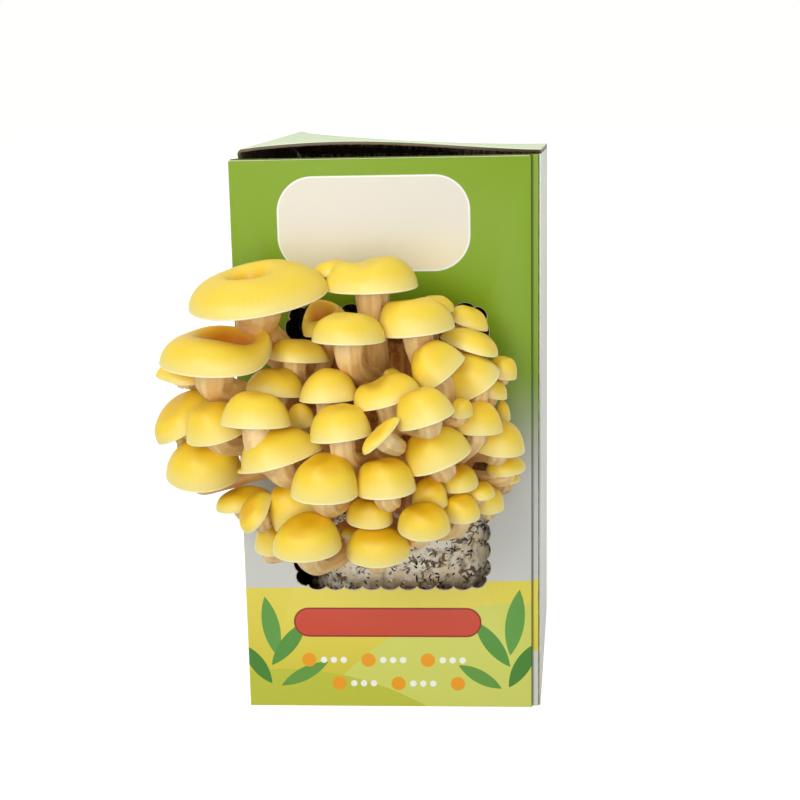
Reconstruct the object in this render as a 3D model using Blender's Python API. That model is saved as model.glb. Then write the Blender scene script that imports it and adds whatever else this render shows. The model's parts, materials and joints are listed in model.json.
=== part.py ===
"""Oyster mushroom grow kit: a windowed carton, its growing block and a cluster of mushrooms.

Units are metres, +Z is up and the origin is the middle of the carton's bottom.
The front of the carton faces -Y.
"""
import math
from itertools import product
from typing import NamedTuple

import bmesh
import bpy
from mathutils import Matrix, Vector
from mathutils.bvhtree import BVHTree
from mathutils.geometry import delaunay_2d_cdt

MM = 0.001

# Carton: a square section, whose back stands a little to the right of its front
CARTON_WIDTH = 118 * MM
CARTON_DEPTH = 118 * MM
CARTON_HEIGHT = 220 * MM
CARTON_RACK = 7.5 * MM
BOARD = 1.5 * MM
GAP = 0.3 * MM
FRONT_Y = -CARTON_DEPTH / 2
BACK_Y = CARTON_DEPTH / 2
COVER_Y = FRONT_Y - GAP - BOARD
COVER_LAP = 3.5 * MM
COVER_TRIM = 0.4 * MM
FOLD_RADIUS = 0.9 * MM

# Window
WINDOW_WIDTH = 78.5 * MM
WINDOW_BOTTOM = 49.5 * MM
WINDOW_TOP = 164.5 * MM
WINDOW_CORNER = 6 * MM
WINDOW_CORNER_STEPS = 3
WINDOW_MARGIN = 2.5 * MM
SCALLOP_PITCH = 7.2 * MM
SCALLOP_DEPTH = 1.6 * MM
SCALLOP_STEPS = 3
SCALLOP_FULLNESS = 0.6
SAME_POINT = 1e-7

# Lid: folded along the right wall's top edge, arched, its free back corner standing up,
# with a tuck folded down inside the left wall
LID_INSET = 3 * MM
LID_ARCH = 3.5 * MM
LID_LIFT = 5.0 * MM
LID_FRONT_INSET = 1.0 * MM
LID_CREST = 1.3
LID_BACK_FLATNESS = 0.85
LID_LIFT_CURVE = 2.4
LID_FREE_RISE = 2.2 * MM
LID_TUCK = 12 * MM
LID_TUCK_INSET = 9 * MM
LID_COLUMNS = 10
LID_ROWS = 4

# Dust flap: folded in from the back wall's top edge, springing up a little under the lid
FLAP_FOLD = (-54 * MM, 20 * MM)
FLAP_EDGE = (-53.5 * MM, -16 * MM)
FLAP_LENGTH = 30 * MM
FLAP_RISES = (5.5 * MM, 3.3 * MM)
FLAP_SINK = 0.1 * MM

# Growing block
BLOCK_WIDTH = 84 * MM
BLOCK_X = 0.5 * MM
BLOCK_Y = -5 * MM
BLOCK_TOP = 149 * MM
BLOCK_EDGE = 9 * MM
BLOCK_SQUARENESS = 3.0
BLOCK_SIDES = 20
BLOCK_FOOT = ((0.5, 0.0), (0.12, 0.35), (0.0, 1.0))
BLOCK_SHOULDER = ((0.0, 1.0), (0.29, 0.29), (1.0, 0.0))
BLOCK_FRONT = BLOCK_Y - BLOCK_WIDTH / 2

# Sight lines: the caps' places are read off a picture of 800 x 800 points taken from this eye
EYE = Vector((35.0, -592.2, 233.5)) * MM
EYE_YAW = math.radians(-3.68)
EYE_PITCH = math.radians(11.32)
EYE_ROLL = math.radians(-1.12)
FOCAL_POINTS = 1400.0
PICTURE_MIDDLE = 400.0

# Caps
CAP_CLEARANCE = 0.35 * MM
CAP_STEP = 0.5 * MM
CAP_CARTON_GAP = 1.0 * MM
CAP_ROUNDNESS = 0.82
CAP_FLATTEST = 0.35
CAP_SHOULDER = 2.4
CAP_EDGE = 1.7
CAP_HOLLOW = 0.42
CAP_LIP = 0.05
FOLD_SPREAD = 0.35
RIM_WAVES = ((0.03, 2, 1.7), (0.02, 3, 2.9))
LOBE_WAVES = ((1.0, 2, 0.9), (-0.5, 3, 0.9))
TIP_SHARPNESS = 5
SIDES_LARGE = 12
SIDES_SMALL = 9
LARGE_WIDTH = 16 * MM
TOP_FACE = 1
RIM = 0
UNDERSIDE = -1
PLAIN_RINGS = ((0.50, TOP_FACE), (0.86, TOP_FACE), (1.0, RIM), (0.84, UNDERSIDE))
DIMPLED_RINGS = ((0.30, TOP_FACE), (0.55, TOP_FACE), (0.78, TOP_FACE), (0.94, TOP_FACE),
                 (1.0, RIM), (0.86, UNDERSIDE))

# Stems
STEM_SIDES = 6
STEM_STEPS = 3
STEM_LEAST = 0.9 * MM
STEM_SHARE = 0.24
STEM_CLEARANCE = 0.4 * MM
SEAT_CLEARANCE = 0.5 * MM
STEM_SETBACKS = (0.12, 0.35, -0.15)
STEM_BACKWARD = 1.6
FOOT_FIRST = 0.35
FOOT_RANGE = 0.55
FOOT_SPREAD = 0.38
GOLDEN_ANGLE = math.radians(137.5)
STEM_PULL = 0.4
STEM_FOOT = 0.95
STEM_FLARE = 1.35
STEM_DROOPS = (0.34, 0.22, 0.46, 0.10)
STEM_SWINGS = (0.0, 4 * MM, -4 * MM, 9 * MM, -9 * MM, 14 * MM, -14 * MM)
STEM_RAISES = (0.0, -4 * MM, 4 * MM, -8 * MM, 8 * MM, -13 * MM, 13 * MM)
TRUNK_SIDES = 8
TRUNK_SHARE = 0.22
FORK_CLEARANCE = 13 * MM
TRUNK_TAPER = 0.8
ROOT_DEPTH = 3 * MM

SMOOTH_ANGLE = 40
CAP_SMOOTH_ANGLE = 50

# Finishes: colour and roughness
PRINTED_BOARD = ((0.36, 0.50, 0.09, 1.0), 0.45)
GREY_BOARD = ((0.45, 0.48, 0.42, 1.0), 0.7)
PALE_BOARD = ((0.62, 0.84, 0.45, 1.0), 0.5)
GROWN_STRAW = ((0.55, 0.47, 0.34, 1.0), 0.9)
CAP_SKIN = ((0.86, 0.66, 0.10, 1.0), 0.4)
STEM_FLESH = ((0.80, 0.62, 0.38, 1.0), 0.6)


class Form(NamedTuple):
    """What sets one cap's form apart from a plain dome."""

    depth: float = CAP_ROUNDNESS
    dimple: float = 0.0
    dimple_size: float = 0.35
    lift: float = 0.0
    lift_from: float = 90.0
    point: float = 0.0
    point_from: float = 0.0
    lobe: float = 0.0
    fold: float = 0.0
    fold_at: float = 0.0


class Cap(NamedTuple):
    """One cap: where it is seen, how far out it stands, and its real size in millimetres."""

    seen_x: float
    seen_y: float
    reach: float
    width: float
    rise: float
    turn: float
    lean: float
    clump: str
    form: Form


class Clump(NamedTuple):
    """One clump of stems: where it leaves the block, in millimetres."""

    x: float
    z: float
    radius: float = 8.0


CLUMPS = {
    "middle": Clump(-6, 108, 8.5),
    "top": Clump(-3, 127, 7),
    "upper_left": Clump(-25, 124),
    "left": Clump(-29, 104),
    "upper_right": Clump(18, 119),
    "right": Clump(20, 99),
    "lower": Clump(-10, 83),
}

DISC = Form(depth=0.90, dimple=0.55, dimple_size=0.30)
FUNNEL = Form(dimple=0.75, dimple_size=0.50, lift=0.62, lift_from=80, point=0.10)
RAISED_BACK = Form(dimple=0.50, dimple_size=0.45, lift=0.45, lift_from=120)
CUP = Form(dimple=0.90, dimple_size=0.60, lift=0.60, lift_from=90)
POINTED = Form(point=0.22)
POINTED_LEFT = Form(point=0.20, point_from=180)
SLIM = Form(depth=0.60, point=0.12)
TWO_LOBES = Form(lobe=0.17)
SADDLE = Form(fold=0.22, fold_at=-0.25)
PLAIN = Form()

CAPS = (
    Cap(255.5, 289.5, 44, 48.0, 18.5, -9, 20, "upper_left", DISC),
    Cap(214, 351.5, 46, 38.0, 17.0, -2, 20, "upper_left", FUNNEL),
    Cap(184, 373.5, 36, 17.5, 7.8, 5, 20, "left", POINTED_LEFT),
    Cap(182, 414.5, 36, 26.5, 13.0, -35, 20, "left", PLAIN),
    Cap(213, 421.5, 42, 21.5, 15.0, -15, 22, "left", PLAIN),
    Cap(256.5, 409, 44, 25.0, 12.8, 0, 10, "middle", PLAIN),
    Cap(203, 463, 40, 28.0, 19.5, -3, 33, "left", PLAIN),
    Cap(279.5, 382, 38, 19.5, 10.0, 6, 13, "upper_left", POINTED_LEFT),
    Cap(295.5, 350, 32, 20.0, 8.5, 3, 10, "upper_left", POINTED),
    Cap(328, 385, 54, 21.2, 11.6, -3, 9, "middle", PLAIN),
    Cap(349, 328, 44, 25.5, 10.8, 0, 8, "top", PLAIN),
    Cap(322, 317, 24, 17.0, 11.0, -20, 20, "upper_left", CUP),
    Cap(371.5, 272, 36, 33.0, 13.8, -3, 9, "top", SADDLE),
    Cap(415, 315, 40, 27.3, 13.6, -6, 11, "upper_right", RAISED_BACK),
    Cap(438, 303, 30, 12.5, 5.0, 15, 15, "upper_right", PLAIN),
    Cap(469, 317, 24, 15.5, 7.2, 20, 15, "upper_right", PLAIN),
    Cap(474, 341, 34, 20.0, 8.0, 17, 15, "upper_right", POINTED_LEFT),
    Cap(430, 364, 50, 18.5, 14.0, -35, 20, "upper_right", POINTED),
    Cap(466, 376, 38, 19.5, 16.0, -40, 26, "upper_right", TWO_LOBES),
    Cap(502.5, 367, 28, 11.0, 8.5, 10, 18, "upper_right", PLAIN),
    Cap(491, 387, 30, 13.5, 7.5, 15, 18, "upper_right", PLAIN),
    Cap(503, 411, 24, 5.5, 7.5, 0, 26, "right", PLAIN),
    Cap(478, 418.5, 38, 17.0, 11.5, 2, 18, "right", PLAIN),
    Cap(499, 437.5, 36, 19.5, 13.2, 5, 22, "right", PLAIN),
    Cap(505, 465, 26, 15.0, 8.0, -5, 26, "right", PLAIN),
    Cap(505, 478, 20, 11.5, 4.5, 0, 22, "right", PLAIN),
    Cap(384, 390, 60, 22.8, 11.0, -16, 16, "middle", SADDLE),
    Cap(422, 405.5, 66, 20.2, 13.0, -20, 15, "middle", PLAIN),
    Cap(461, 408, 44, 8.5, 6.8, 0, 26, "right", PLAIN),
    Cap(378.5, 434.5, 72, 15.5, 6.5, -45, 30, "middle", SLIM),
    Cap(338.5, 422.5, 66, 20.4, 12.4, -8, 11, "middle", PLAIN),
    Cap(301, 415, 44, 10.0, 9.0, -15, 20, "middle", POINTED_LEFT),
    Cap(273, 446.5, 61, 26.5, 13.8, -16, 11, "middle", POINTED),
    Cap(324.5, 479, 62, 22.4, 17.0, 0, 27, "middle", PLAIN),
    Cap(385, 477.5, 60, 20.5, 14.2, -6, 19, "middle", PLAIN),
    Cap(434.5, 448.5, 50, 24.3, 14.8, -22, 21, "middle", PLAIN),
    Cap(459, 479, 42, 13.5, 9.5, -5, 27, "right", PLAIN),
    Cap(429, 494, 44, 12.5, 11.0, 0, 30, "lower", PLAIN),
    Cap(478.5, 490, 36, 12.0, 7.0, 0, 28, "right", PLAIN),
    Cap(488.5, 500, 30, 11.5, 10.0, 0, 32, "right", PLAIN),
    Cap(461, 508.5, 36, 13.5, 10.5, 0, 30, "lower", PLAIN),
    Cap(423.5, 521.5, 50, 18.0, 13.2, 0, 38, "lower", PLAIN),
    Cap(370, 512, 50, 17.0, 11.5, 0, 30, "lower", PLAIN),
    Cap(378, 546, 52, 23.5, 14.3, 0, 38, "lower", PLAIN),
    Cap(307, 538, 54, 23.5, 16.3, -5, 35, "lower", PLAIN),
    Cap(270, 540, 40, 11.0, 11.5, 0, 38, "lower", PLAIN),
    Cap(291, 504, 46, 19.5, 15.5, -30, 22, "lower", POINTED),
    Cap(253, 513, 46, 15.0, 8.5, -58, 28, "left", POINTED),
    Cap(243.5, 499, 38, 20.5, 9.0, -12, 26, "left", PLAIN),
)


def clear_scene():
    """Remove every object, so that the file holds only this model."""
    for item in list(bpy.data.objects):
        bpy.data.objects.remove(item, do_unlink=True)


def material(name, finish):
    """Return a Principled material of one colour and roughness."""
    colour, roughness = finish
    made = bpy.data.materials.new(name)
    made.use_nodes = True
    shader = made.node_tree.nodes["Principled BSDF"]
    shader.inputs["Base Color"].default_value = colour
    shader.inputs["Roughness"].default_value = roughness
    made.diffuse_color = colour
    return made


def add_object(name, mesh, finish, smooth_angle=None):
    """Link a mesh as a named object with its material."""
    made = bpy.data.objects.new(name, mesh)
    mesh.materials.clear()
    mesh.materials.append(finish)
    if smooth_angle is not None:
        mesh.shade_smooth()
        mesh.set_sharp_from_angle(angle=math.radians(smooth_angle))
    bpy.context.scene.collection.objects.link(made)
    return made


def mesh_from(name, points, faces):
    """Return a mesh from points and faces, with its faces turned outwards."""
    mesh = bpy.data.meshes.new(name)
    mesh.from_pydata([tuple(point) for point in points], [], faces)
    work = bmesh.new()
    work.from_mesh(mesh)
    bmesh.ops.recalc_face_normals(work, faces=work.faces)
    work.to_mesh(mesh)
    work.free()
    return mesh


def combine(first, second, operation, crossing=False):
    """Return the exact Boolean of two closed meshes; crossing allows for one that cuts itself."""
    base = bpy.data.objects.new("combine_base", first)
    tool = bpy.data.objects.new("combine_tool", second)
    for item in (base, tool):
        bpy.context.scene.collection.objects.link(item)
    step = base.modifiers.new("combine", "BOOLEAN")
    step.operation = operation
    step.solver = "EXACT"
    step.use_self = crossing
    step.object = tool
    graph = bpy.context.evaluated_depsgraph_get()
    result = bpy.data.meshes.new_from_object(base.evaluated_get(graph))
    for item in (base, tool):
        bpy.data.objects.remove(item, do_unlink=True)
    return result


def racked(x, y, z):
    """Return a point of the carton, shifted right by as much as the carton leans back there."""
    return Vector((x + CARTON_RACK * y / CARTON_DEPTH, y, z))


def ring_walls(columns, rings, first=0):
    """Return the quads between rings of points that are stored one after another."""
    faces = []
    for ring in range(rings - 1):
        for column in range(columns):
            after = (column + 1) % columns
            low = first + ring * columns
            high = low + columns
            faces.append((low + column, low + after, high + after, high + column))
    return faces


def box_outline(half_x, front, back):
    """Return the four corners of a racked box, seen from above."""
    return [(-half_x, front), (half_x, front), (half_x, back), (-half_x, back)]


def is_fold(edge):
    """Tell whether an edge of the carton is one of its upright outer corners."""
    first, second = (corner.co for corner in edge.verts)
    upright = abs(first.z - second.z) > CARTON_HEIGHT / 2
    return upright and BACK_Y - abs(first.y) < BOARD / 2


def back_flap():
    """Return the dust flap, a plate that narrows from its fold to its free edge."""
    fold_y = BACK_Y - BOARD / 4
    edge_y = fold_y - FLAP_LENGTH
    plan = [(FLAP_FOLD[0], fold_y, -FLAP_SINK), (FLAP_FOLD[1], fold_y, -FLAP_SINK),
            (FLAP_EDGE[1], edge_y, FLAP_RISES[1]), (FLAP_EDGE[0], edge_y, FLAP_RISES[0])]
    points = [racked(x, y, CARTON_HEIGHT + rise - BOARD) for x, y, rise in plan]
    points += [racked(x, y, CARTON_HEIGHT + rise) for x, y, rise in plan]
    faces = ring_walls(4, 2) + [(3, 2, 1, 0), (4, 5, 6, 7)]
    return mesh_from("back_flap", points, faces)


def carton_shell():
    """Return the carton: walls, bottom and dust flap, open on top, with a plain window."""
    half = CARTON_WIDTH / 2
    outer = box_outline(half, FRONT_Y, BACK_Y)
    inner = box_outline(half - BOARD, FRONT_Y + BOARD, BACK_Y - BOARD)
    points = [racked(x, y, 0) for x, y in outer]
    points += [racked(x, y, CARTON_HEIGHT) for x, y in outer]
    points += [racked(x, y, CARTON_HEIGHT) for x, y in inner]
    points += [racked(x, y, BOARD) for x, y in inner]
    faces = ring_walls(4, 4) + [(3, 2, 1, 0), (12, 13, 14, 15)]
    shell = mesh_from("carton_body", points, faces)
    work = bmesh.new()
    work.from_mesh(shell)
    folds = [edge for edge in work.edges if is_fold(edge)]
    bmesh.ops.bevel(work, geom=folds, offset=FOLD_RADIUS, segments=2, affect="EDGES")
    work.to_mesh(shell)
    work.free()
    shell = combine(shell, back_flap(), "UNION")
    outline = rounded_window(WINDOW_MARGIN)
    cutter = extruded("window_cutter", outline, FRONT_Y - BOARD, FRONT_Y + 2 * BOARD)
    return combine(shell, cutter, "DIFFERENCE")


def window_middle_x():
    """Return where the middle of the front wall is."""
    return racked(0, FRONT_Y, 0).x


def rounded_window(margin):
    """Return a rounded outline, wider than the window by a margin all round."""
    middle = window_middle_x()
    left = middle - WINDOW_WIDTH / 2 - margin
    right = middle + WINDOW_WIDTH / 2 + margin
    low = WINDOW_BOTTOM - margin
    high = WINDOW_TOP + margin
    corners = ((right, high, 0), (left, high, 90), (left, low, 180), (right, low, 270))
    outline = []
    for x, z, start in corners:
        inward_x = -1 if x == right else 1
        inward_z = -1 if z == high else 1
        for step in range(WINDOW_CORNER_STEPS + 1):
            angle = math.radians(start + 90 * step / WINDOW_CORNER_STEPS)
            outline.append((x + inward_x * WINDOW_CORNER + WINDOW_CORNER * math.cos(angle),
                            z + inward_z * WINDOW_CORNER + WINDOW_CORNER * math.sin(angle)))
    return outline


def scalloped_window():
    """Return the window's edge as a row of half-round bites between inward cusps."""
    middle = window_middle_x()
    base = rounded_window(-SCALLOP_DEPTH)
    lengths = [0.0]
    for first, second in zip(base, base[1:] + base[:1]):
        lengths.append(lengths[-1] + math.dist(first, second))
    total = lengths[-1]
    bites = round(total / SCALLOP_PITCH)
    centre = Vector((middle, (WINDOW_BOTTOM + WINDOW_TOP) / 2))
    outline = []
    for bite in range(bites):
        for step in range(SCALLOP_STEPS):
            share = step / SCALLOP_STEPS
            travel = (bite + share) / bites * total
            run = max(index for index in range(len(base)) if lengths[index] <= travel)
            first = Vector(base[run])
            second = Vector(base[(run + 1) % len(base)])
            along = (second - first).normalized()
            outward = Vector((along.y, -along.x))
            place = first + along * (travel - lengths[run])
            if outward.dot(place - centre) < 0:
                outward = -outward
            bulge = math.sin(math.pi * share) ** SCALLOP_FULLNESS if step else 0.0
            outline.append(tuple(place + outward * SCALLOP_DEPTH * bulge))
    return outline


def extruded(name, outline, front, back):
    """Return a closed solid from an outline in X and Z, between two planes of Y."""
    count = len(outline)
    points = [(x, front, z) for x, z in outline] + [(x, back, z) for x, z in outline]
    faces = ring_walls(count, 2) + [tuple(range(count)), tuple(range(count, 2 * count))]
    return mesh_from(name, points, faces)


def loop_of(count, first):
    """Return the edges of one closed outline, whose points follow one after another."""
    return [(first + index, first + (index + 1) % count) for index in range(count)]


def cover_sheet():
    """Return the outer front layer, with its scalloped window."""
    left = racked(-CARTON_WIDTH / 2, FRONT_Y, 0).x
    right = racked(CARTON_WIDTH / 2 - COVER_LAP, FRONT_Y, 0).x
    top = CARTON_HEIGHT - COVER_TRIM
    edge = [(left, 0.0), (right, 0.0), (right, top), (left, top)]
    hole = scalloped_window()
    flat = [Vector(point) for point in edge + hole]
    rim = loop_of(len(edge), 0) + loop_of(len(hole), len(edge))
    places, _, triangles, _, _, _ = delaunay_2d_cdt(flat, rim, [], 0, SAME_POINT)
    kept = []
    for face in triangles:
        centre = sum((places[index] for index in face), Vector((0, 0))) / len(face)
        if not inside(centre, hole):
            kept.append(tuple(face))
    back = COVER_Y + BOARD
    points = [(p.x, COVER_Y, p.y) for p in places] + [(p.x, back, p.y) for p in places]
    count = len(places)
    faces = list(kept) + [tuple(count + index for index in reversed(face)) for face in kept]
    directed = {(a, b) for face in kept for a, b in zip(face, face[1:] + face[:1])}
    for a, b in directed:
        if (b, a) not in directed:
            faces.append((b, a, a + count, b + count))
    return mesh_from("carton_cover", points, sorted(faces))


def inside(point, outline):
    """Tell whether a flat point lies inside a closed outline."""
    hits = 0
    for (x1, y1), (x2, y2) in zip(outline, outline[1:] + outline[:1]):
        if (y1 > point.y) != (y2 > point.y):
            cross = x1 + (point.y - y1) / (y2 - y1) * (x2 - x1)
            hits += cross > point.x
    return hits % 2 == 1


def lid_height(share, depth):
    """Return how high the lid's underside stands over the walls' top edge.

    share runs from the fold, 0, to the free end, 1; depth from the front, 0, to the back, 1.
    """
    arch = LID_ARCH * math.sin(math.pi * share ** LID_CREST) * (1 - LID_BACK_FLATNESS * depth)
    lift = LID_LIFT * depth * share ** LID_LIFT_CURVE
    return GAP + max(arch, 0.0) + lift + LID_FREE_RISE * share ** 2


def lid_point(column, depth, layer):
    """Return one point of the lid: on its arched sheet or, past the fold, on the tuck's edge.

    layer is the height over the sheet's underside, which turns into the tuck's inner face.
    """
    share = min(column, LID_COLUMNS) / LID_COLUMNS
    x = CARTON_WIDTH / 2 - share * (CARTON_WIDTH - LID_INSET)
    if column >= LID_COLUMNS:
        x += BOARD - layer
    if column > LID_COLUMNS:
        inset = LID_TUCK_INSET
        z = CARTON_HEIGHT + lid_height(share, depth) - LID_TUCK
    else:
        inset = LID_FRONT_INSET
        z = CARTON_HEIGHT + lid_height(share, depth) + layer
    return racked(x, FRONT_Y + inset + depth * (CARTON_DEPTH - 2 * inset), z)


def lid_sheet(hinge):
    """Return the lid and its tuck as one bent sheet, with its points measured from the hinge."""
    strips = LID_COLUMNS + 1
    points = []
    for layer in (0.0, BOARD):
        for row in range(LID_ROWS + 1):
            for column in range(strips + 1):
                points.append(lid_point(column, row / LID_ROWS, layer) - hinge)
    across = strips + 1
    sheet = across * (LID_ROWS + 1)
    faces = []
    for row in range(LID_ROWS):
        for column in range(strips):
            a = row * across + column
            b = a + across
            faces.append((a, b, b + 1, a + 1))
            faces.append((sheet + a, sheet + a + 1, sheet + b + 1, sheet + b))
    for column in range(strips):
        for a in (column, LID_ROWS * across + column):
            faces.append((a, a + 1, sheet + a + 1, sheet + a))
    for row in range(LID_ROWS):
        for a in (row * across, row * across + strips):
            faces.append((a, a + across, sheet + a + across, sheet + a))
    return mesh_from("lid", points, faces)


def block_ring(inset, z):
    """Return one level outline of the block, a rounded square."""
    half = BLOCK_WIDTH / 2 - inset
    power = 2 / BLOCK_SQUARENESS
    ring = []
    for side in range(BLOCK_SIDES):
        angle = 2 * math.pi * (side + 0.5) / BLOCK_SIDES
        cosine = math.cos(angle)
        sine = math.sin(angle)
        ring.append(Vector((BLOCK_X + half * math.copysign(abs(cosine) ** power, cosine),
                            BLOCK_Y + half * math.copysign(abs(sine) ** power, sine), z)))
    return ring


def growing_block(grow=0.0):
    """Return the block, with rounded top and bottom edges; grow makes it larger all round."""
    low = BOARD + GAP - grow
    high = BLOCK_TOP + grow
    levels = [(inset, low + BLOCK_EDGE * rise) for inset, rise in BLOCK_FOOT]
    levels += [(inset, high - BLOCK_EDGE * drop) for inset, drop in BLOCK_SHOULDER]
    points = []
    for inset, z in levels:
        points += block_ring(BLOCK_EDGE * inset - grow, z)
    last = len(points) - BLOCK_SIDES
    faces = ring_walls(BLOCK_SIDES, len(levels))
    faces.append(tuple(range(BLOCK_SIDES)))
    faces.append(tuple(range(last, last + BLOCK_SIDES)))
    return mesh_from("substrate_block", points, faces)


def eye_frame():
    """Return the picture's right, up and forward directions."""
    forward = Vector((math.sin(EYE_YAW) * math.cos(EYE_PITCH),
                      math.cos(EYE_YAW) * math.cos(EYE_PITCH), -math.sin(EYE_PITCH)))
    level = Vector((math.cos(EYE_YAW), -math.sin(EYE_YAW), 0))
    upright = level.cross(forward)
    right = math.cos(EYE_ROLL) * level + math.sin(EYE_ROLL) * upright
    above = -math.sin(EYE_ROLL) * level + math.cos(EYE_ROLL) * upright
    return right, above, forward


def sight_line(seen_x, seen_y):
    """Return the direction from the eye through a point of the picture."""
    right, above, forward = eye_frame()
    across = (seen_x - PICTURE_MIDDLE) / FOCAL_POINTS
    down = (seen_y - PICTURE_MIDDLE) / FOCAL_POINTS
    return (forward + across * right - down * above).normalized()


def waves(rows, angle, shift):
    """Return the sum of cosine waves round a cap; each row has a size, a count and a shift."""
    return sum(size * math.cos(count * angle + offset * shift) for size, count, offset in rows)


class CapShape:
    """One cap's axes, half sizes and surface, worked out from its row of the table."""

    def __init__(self, cap, index):
        """Work out the axes and half sizes of a cap."""
        self.cap = cap
        self.index = index
        self.sight = sight_line(cap.seen_x, cap.seen_y)
        right, _, _ = eye_frame()
        view = -self.sight
        side = (right - right.dot(view) * view).normalized()
        up = view.cross(side)
        turn = math.radians(cap.turn)
        turned_up = math.cos(turn) * up + math.sin(turn) * side
        self.across = math.cos(turn) * side - math.sin(turn) * up
        lean = math.radians(cap.lean)
        self.axis = math.cos(lean) * turned_up + math.sin(lean) * view
        self.near = math.cos(lean) * view - math.sin(lean) * turned_up
        rise = cap.rise * MM
        self.half_width = cap.width * MM / 2
        self.half_depth = min(cap.form.depth * self.half_width,
                              CAP_FLATTEST * rise / math.sin(lean))
        rest = rise - 2 * self.half_depth * math.sin(lean)
        self.dome = math.sqrt(rise * rest) / math.cos(lean)
        self.drop = turned_up * rest / 2
        self.reach = cap.reach * MM

    def centre(self):
        """Return the middle of the cap's rim, on its sight line at its reach."""
        travel = (COVER_Y - self.reach - EYE.y) / self.sight.y
        return EYE + travel * self.sight - self.drop

    def outline(self, angle):
        """Return the rim's radius factor at an angle round the cap."""
        form = self.cap.form
        towards_tip = max(0.0, math.cos(angle - math.radians(form.point_from)))
        tip = form.point * towards_tip ** TIP_SHARPNESS
        lobes = form.lobe * waves(LOBE_WAVES, angle, 1)
        return 1 + waves(RIM_WAVES, angle, self.index) + tip + lobes

    def rolled_back(self, share, angle):
        """Return how far the far part of a funnel's rim is rolled up."""
        form = self.cap.form
        back = max(0.0, math.cos(angle - math.radians(form.lift_from))) ** 2
        return form.lift * self.dome * share ** 2 * back

    def top(self, share, angle):
        """Return the upper surface's height at a share of the radius."""
        form = self.cap.form
        crown = (1 - share ** CAP_SHOULDER) ** (1 / CAP_EDGE)
        dimple = form.dimple * math.exp(-(share / form.dimple_size) ** 2)
        off_fold = (share * math.cos(angle) - form.fold_at) / FOLD_SPREAD
        fold = form.fold * crown * math.exp(-off_fold ** 2)
        return self.dome * (crown - dimple - fold) + self.rolled_back(share, angle)

    def under(self, share, angle):
        """Return the underside's height at a share of the radius."""
        form = self.cap.form
        hollow = CAP_HOLLOW * (1 - share) * (1 - form.dimple)
        return self.dome * (hollow - CAP_LIP) + self.rolled_back(share, angle)

    def seat(self, radius, setback):
        """Return the height under the cap at which a stem's top of this radius clears it."""
        reach = setback + radius / self.half_depth
        angles = [2 * math.pi * side / SIDES_LARGE for side in range(SIDES_LARGE)]
        return min(self.under(min(reach / self.outline(angle), 1), angle)
                   for angle in angles) - SEAT_CLEARANCE

    def point(self, share, angle, height, grow=0.0):
        """Return a point of the cap from its share of the radius, angle and height."""
        factor = self.outline(angle) * share
        return (self.across * (self.half_width + grow) * factor * math.cos(angle)
                - self.near * (self.half_depth + grow) * factor * math.sin(angle)
                + self.axis * height)

    def mesh(self, name, grow=0.0):
        """Return the cap's closed mesh about its rim's middle; grow makes it larger all round."""
        sides = SIDES_LARGE if self.half_width * 2 > LARGE_WIDTH else SIDES_SMALL
        rings = DIMPLED_RINGS if self.cap.form.dimple else PLAIN_RINGS
        points = [self.axis * (self.top(0, 0) + grow)]
        for share, face in rings:
            for side in range(sides):
                angle = 2 * math.pi * side / sides
                surface = self.top if face == TOP_FACE else self.under
                height = surface(share, angle) + grow * face
                points.append(self.point(share, angle, height, grow))
        points.append(self.axis * (self.under(0, 0) - grow))
        last = len(points) - 1
        faces = ring_walls(sides, len(rings), 1)
        for side in range(sides):
            after = (side + 1) % sides
            faces.append((0, 1 + after, 1 + side))
            faces.append((last, last - sides + side, last - sides + after))
        return mesh_from(name, points, faces)

    def stem_radius(self):
        """Return the stem's radius under the cap."""
        return STEM_LEAST + STEM_SHARE * self.half_width


def placed(mesh, where):
    """Return a copy of a mesh, moved to a place."""
    copy = mesh.copy()
    copy.transform(Matrix.Translation(where))
    return copy


def tree_of(mesh):
    """Return a search tree of a mesh's faces."""
    work = bmesh.new()
    work.from_mesh(mesh)
    tree = BVHTree.FromBMesh(work)
    work.free()
    return tree


def touching(first, second):
    """Tell whether two meshes cut each other."""
    return bool(tree_of(first).overlap(tree_of(second)))


def settle_caps(shapes):
    """Slide each cap out along its sight line until it clears those behind it and the carton."""
    settled = []
    for shape in sorted(shapes, key=lambda item: item.cap.reach):
        body = shape.mesh("trial", CAP_CLEARANCE)
        while True:
            trial = placed(body, shape.centre())
            front = max(vertex.co.y for vertex in trial.vertices)
            if front < COVER_Y - CAP_CARTON_GAP and not any(
                    touching(trial, other) for other in settled):
                break
            bpy.data.meshes.remove(trial)
            shape.reach += CAP_STEP
        settled.append(trial)


def bezier(start, start_pull, end_pull, end, share):
    """Return a point of a cubic curve."""
    rest = 1 - share
    return (rest ** 3 * start + 3 * rest ** 2 * share * start_pull
            + 3 * rest * share ** 2 * end_pull + share ** 3 * end)


def tube(points, radii, sides):
    """Return a closed tube along points, with a radius at each."""
    rings = []
    side = Vector((1, 0, 0))
    for index, point in enumerate(points):
        before = points[max(index - 1, 0)]
        after = points[min(index + 1, len(points) - 1)]
        along = (after - before).normalized()
        side = (side - side.dot(along) * along).normalized()
        other = along.cross(side)
        for column in range(sides):
            angle = 2 * math.pi * column / sides
            spoke = math.cos(angle) * side + math.sin(angle) * other
            rings.append(point + radii[index] * spoke)
    count = len(rings)
    faces = ring_walls(sides, len(points))
    faces.append(tuple(range(sides)))
    faces.append(tuple(range(count - sides, count)))
    return mesh_from("tube", rings, faces)


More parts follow.
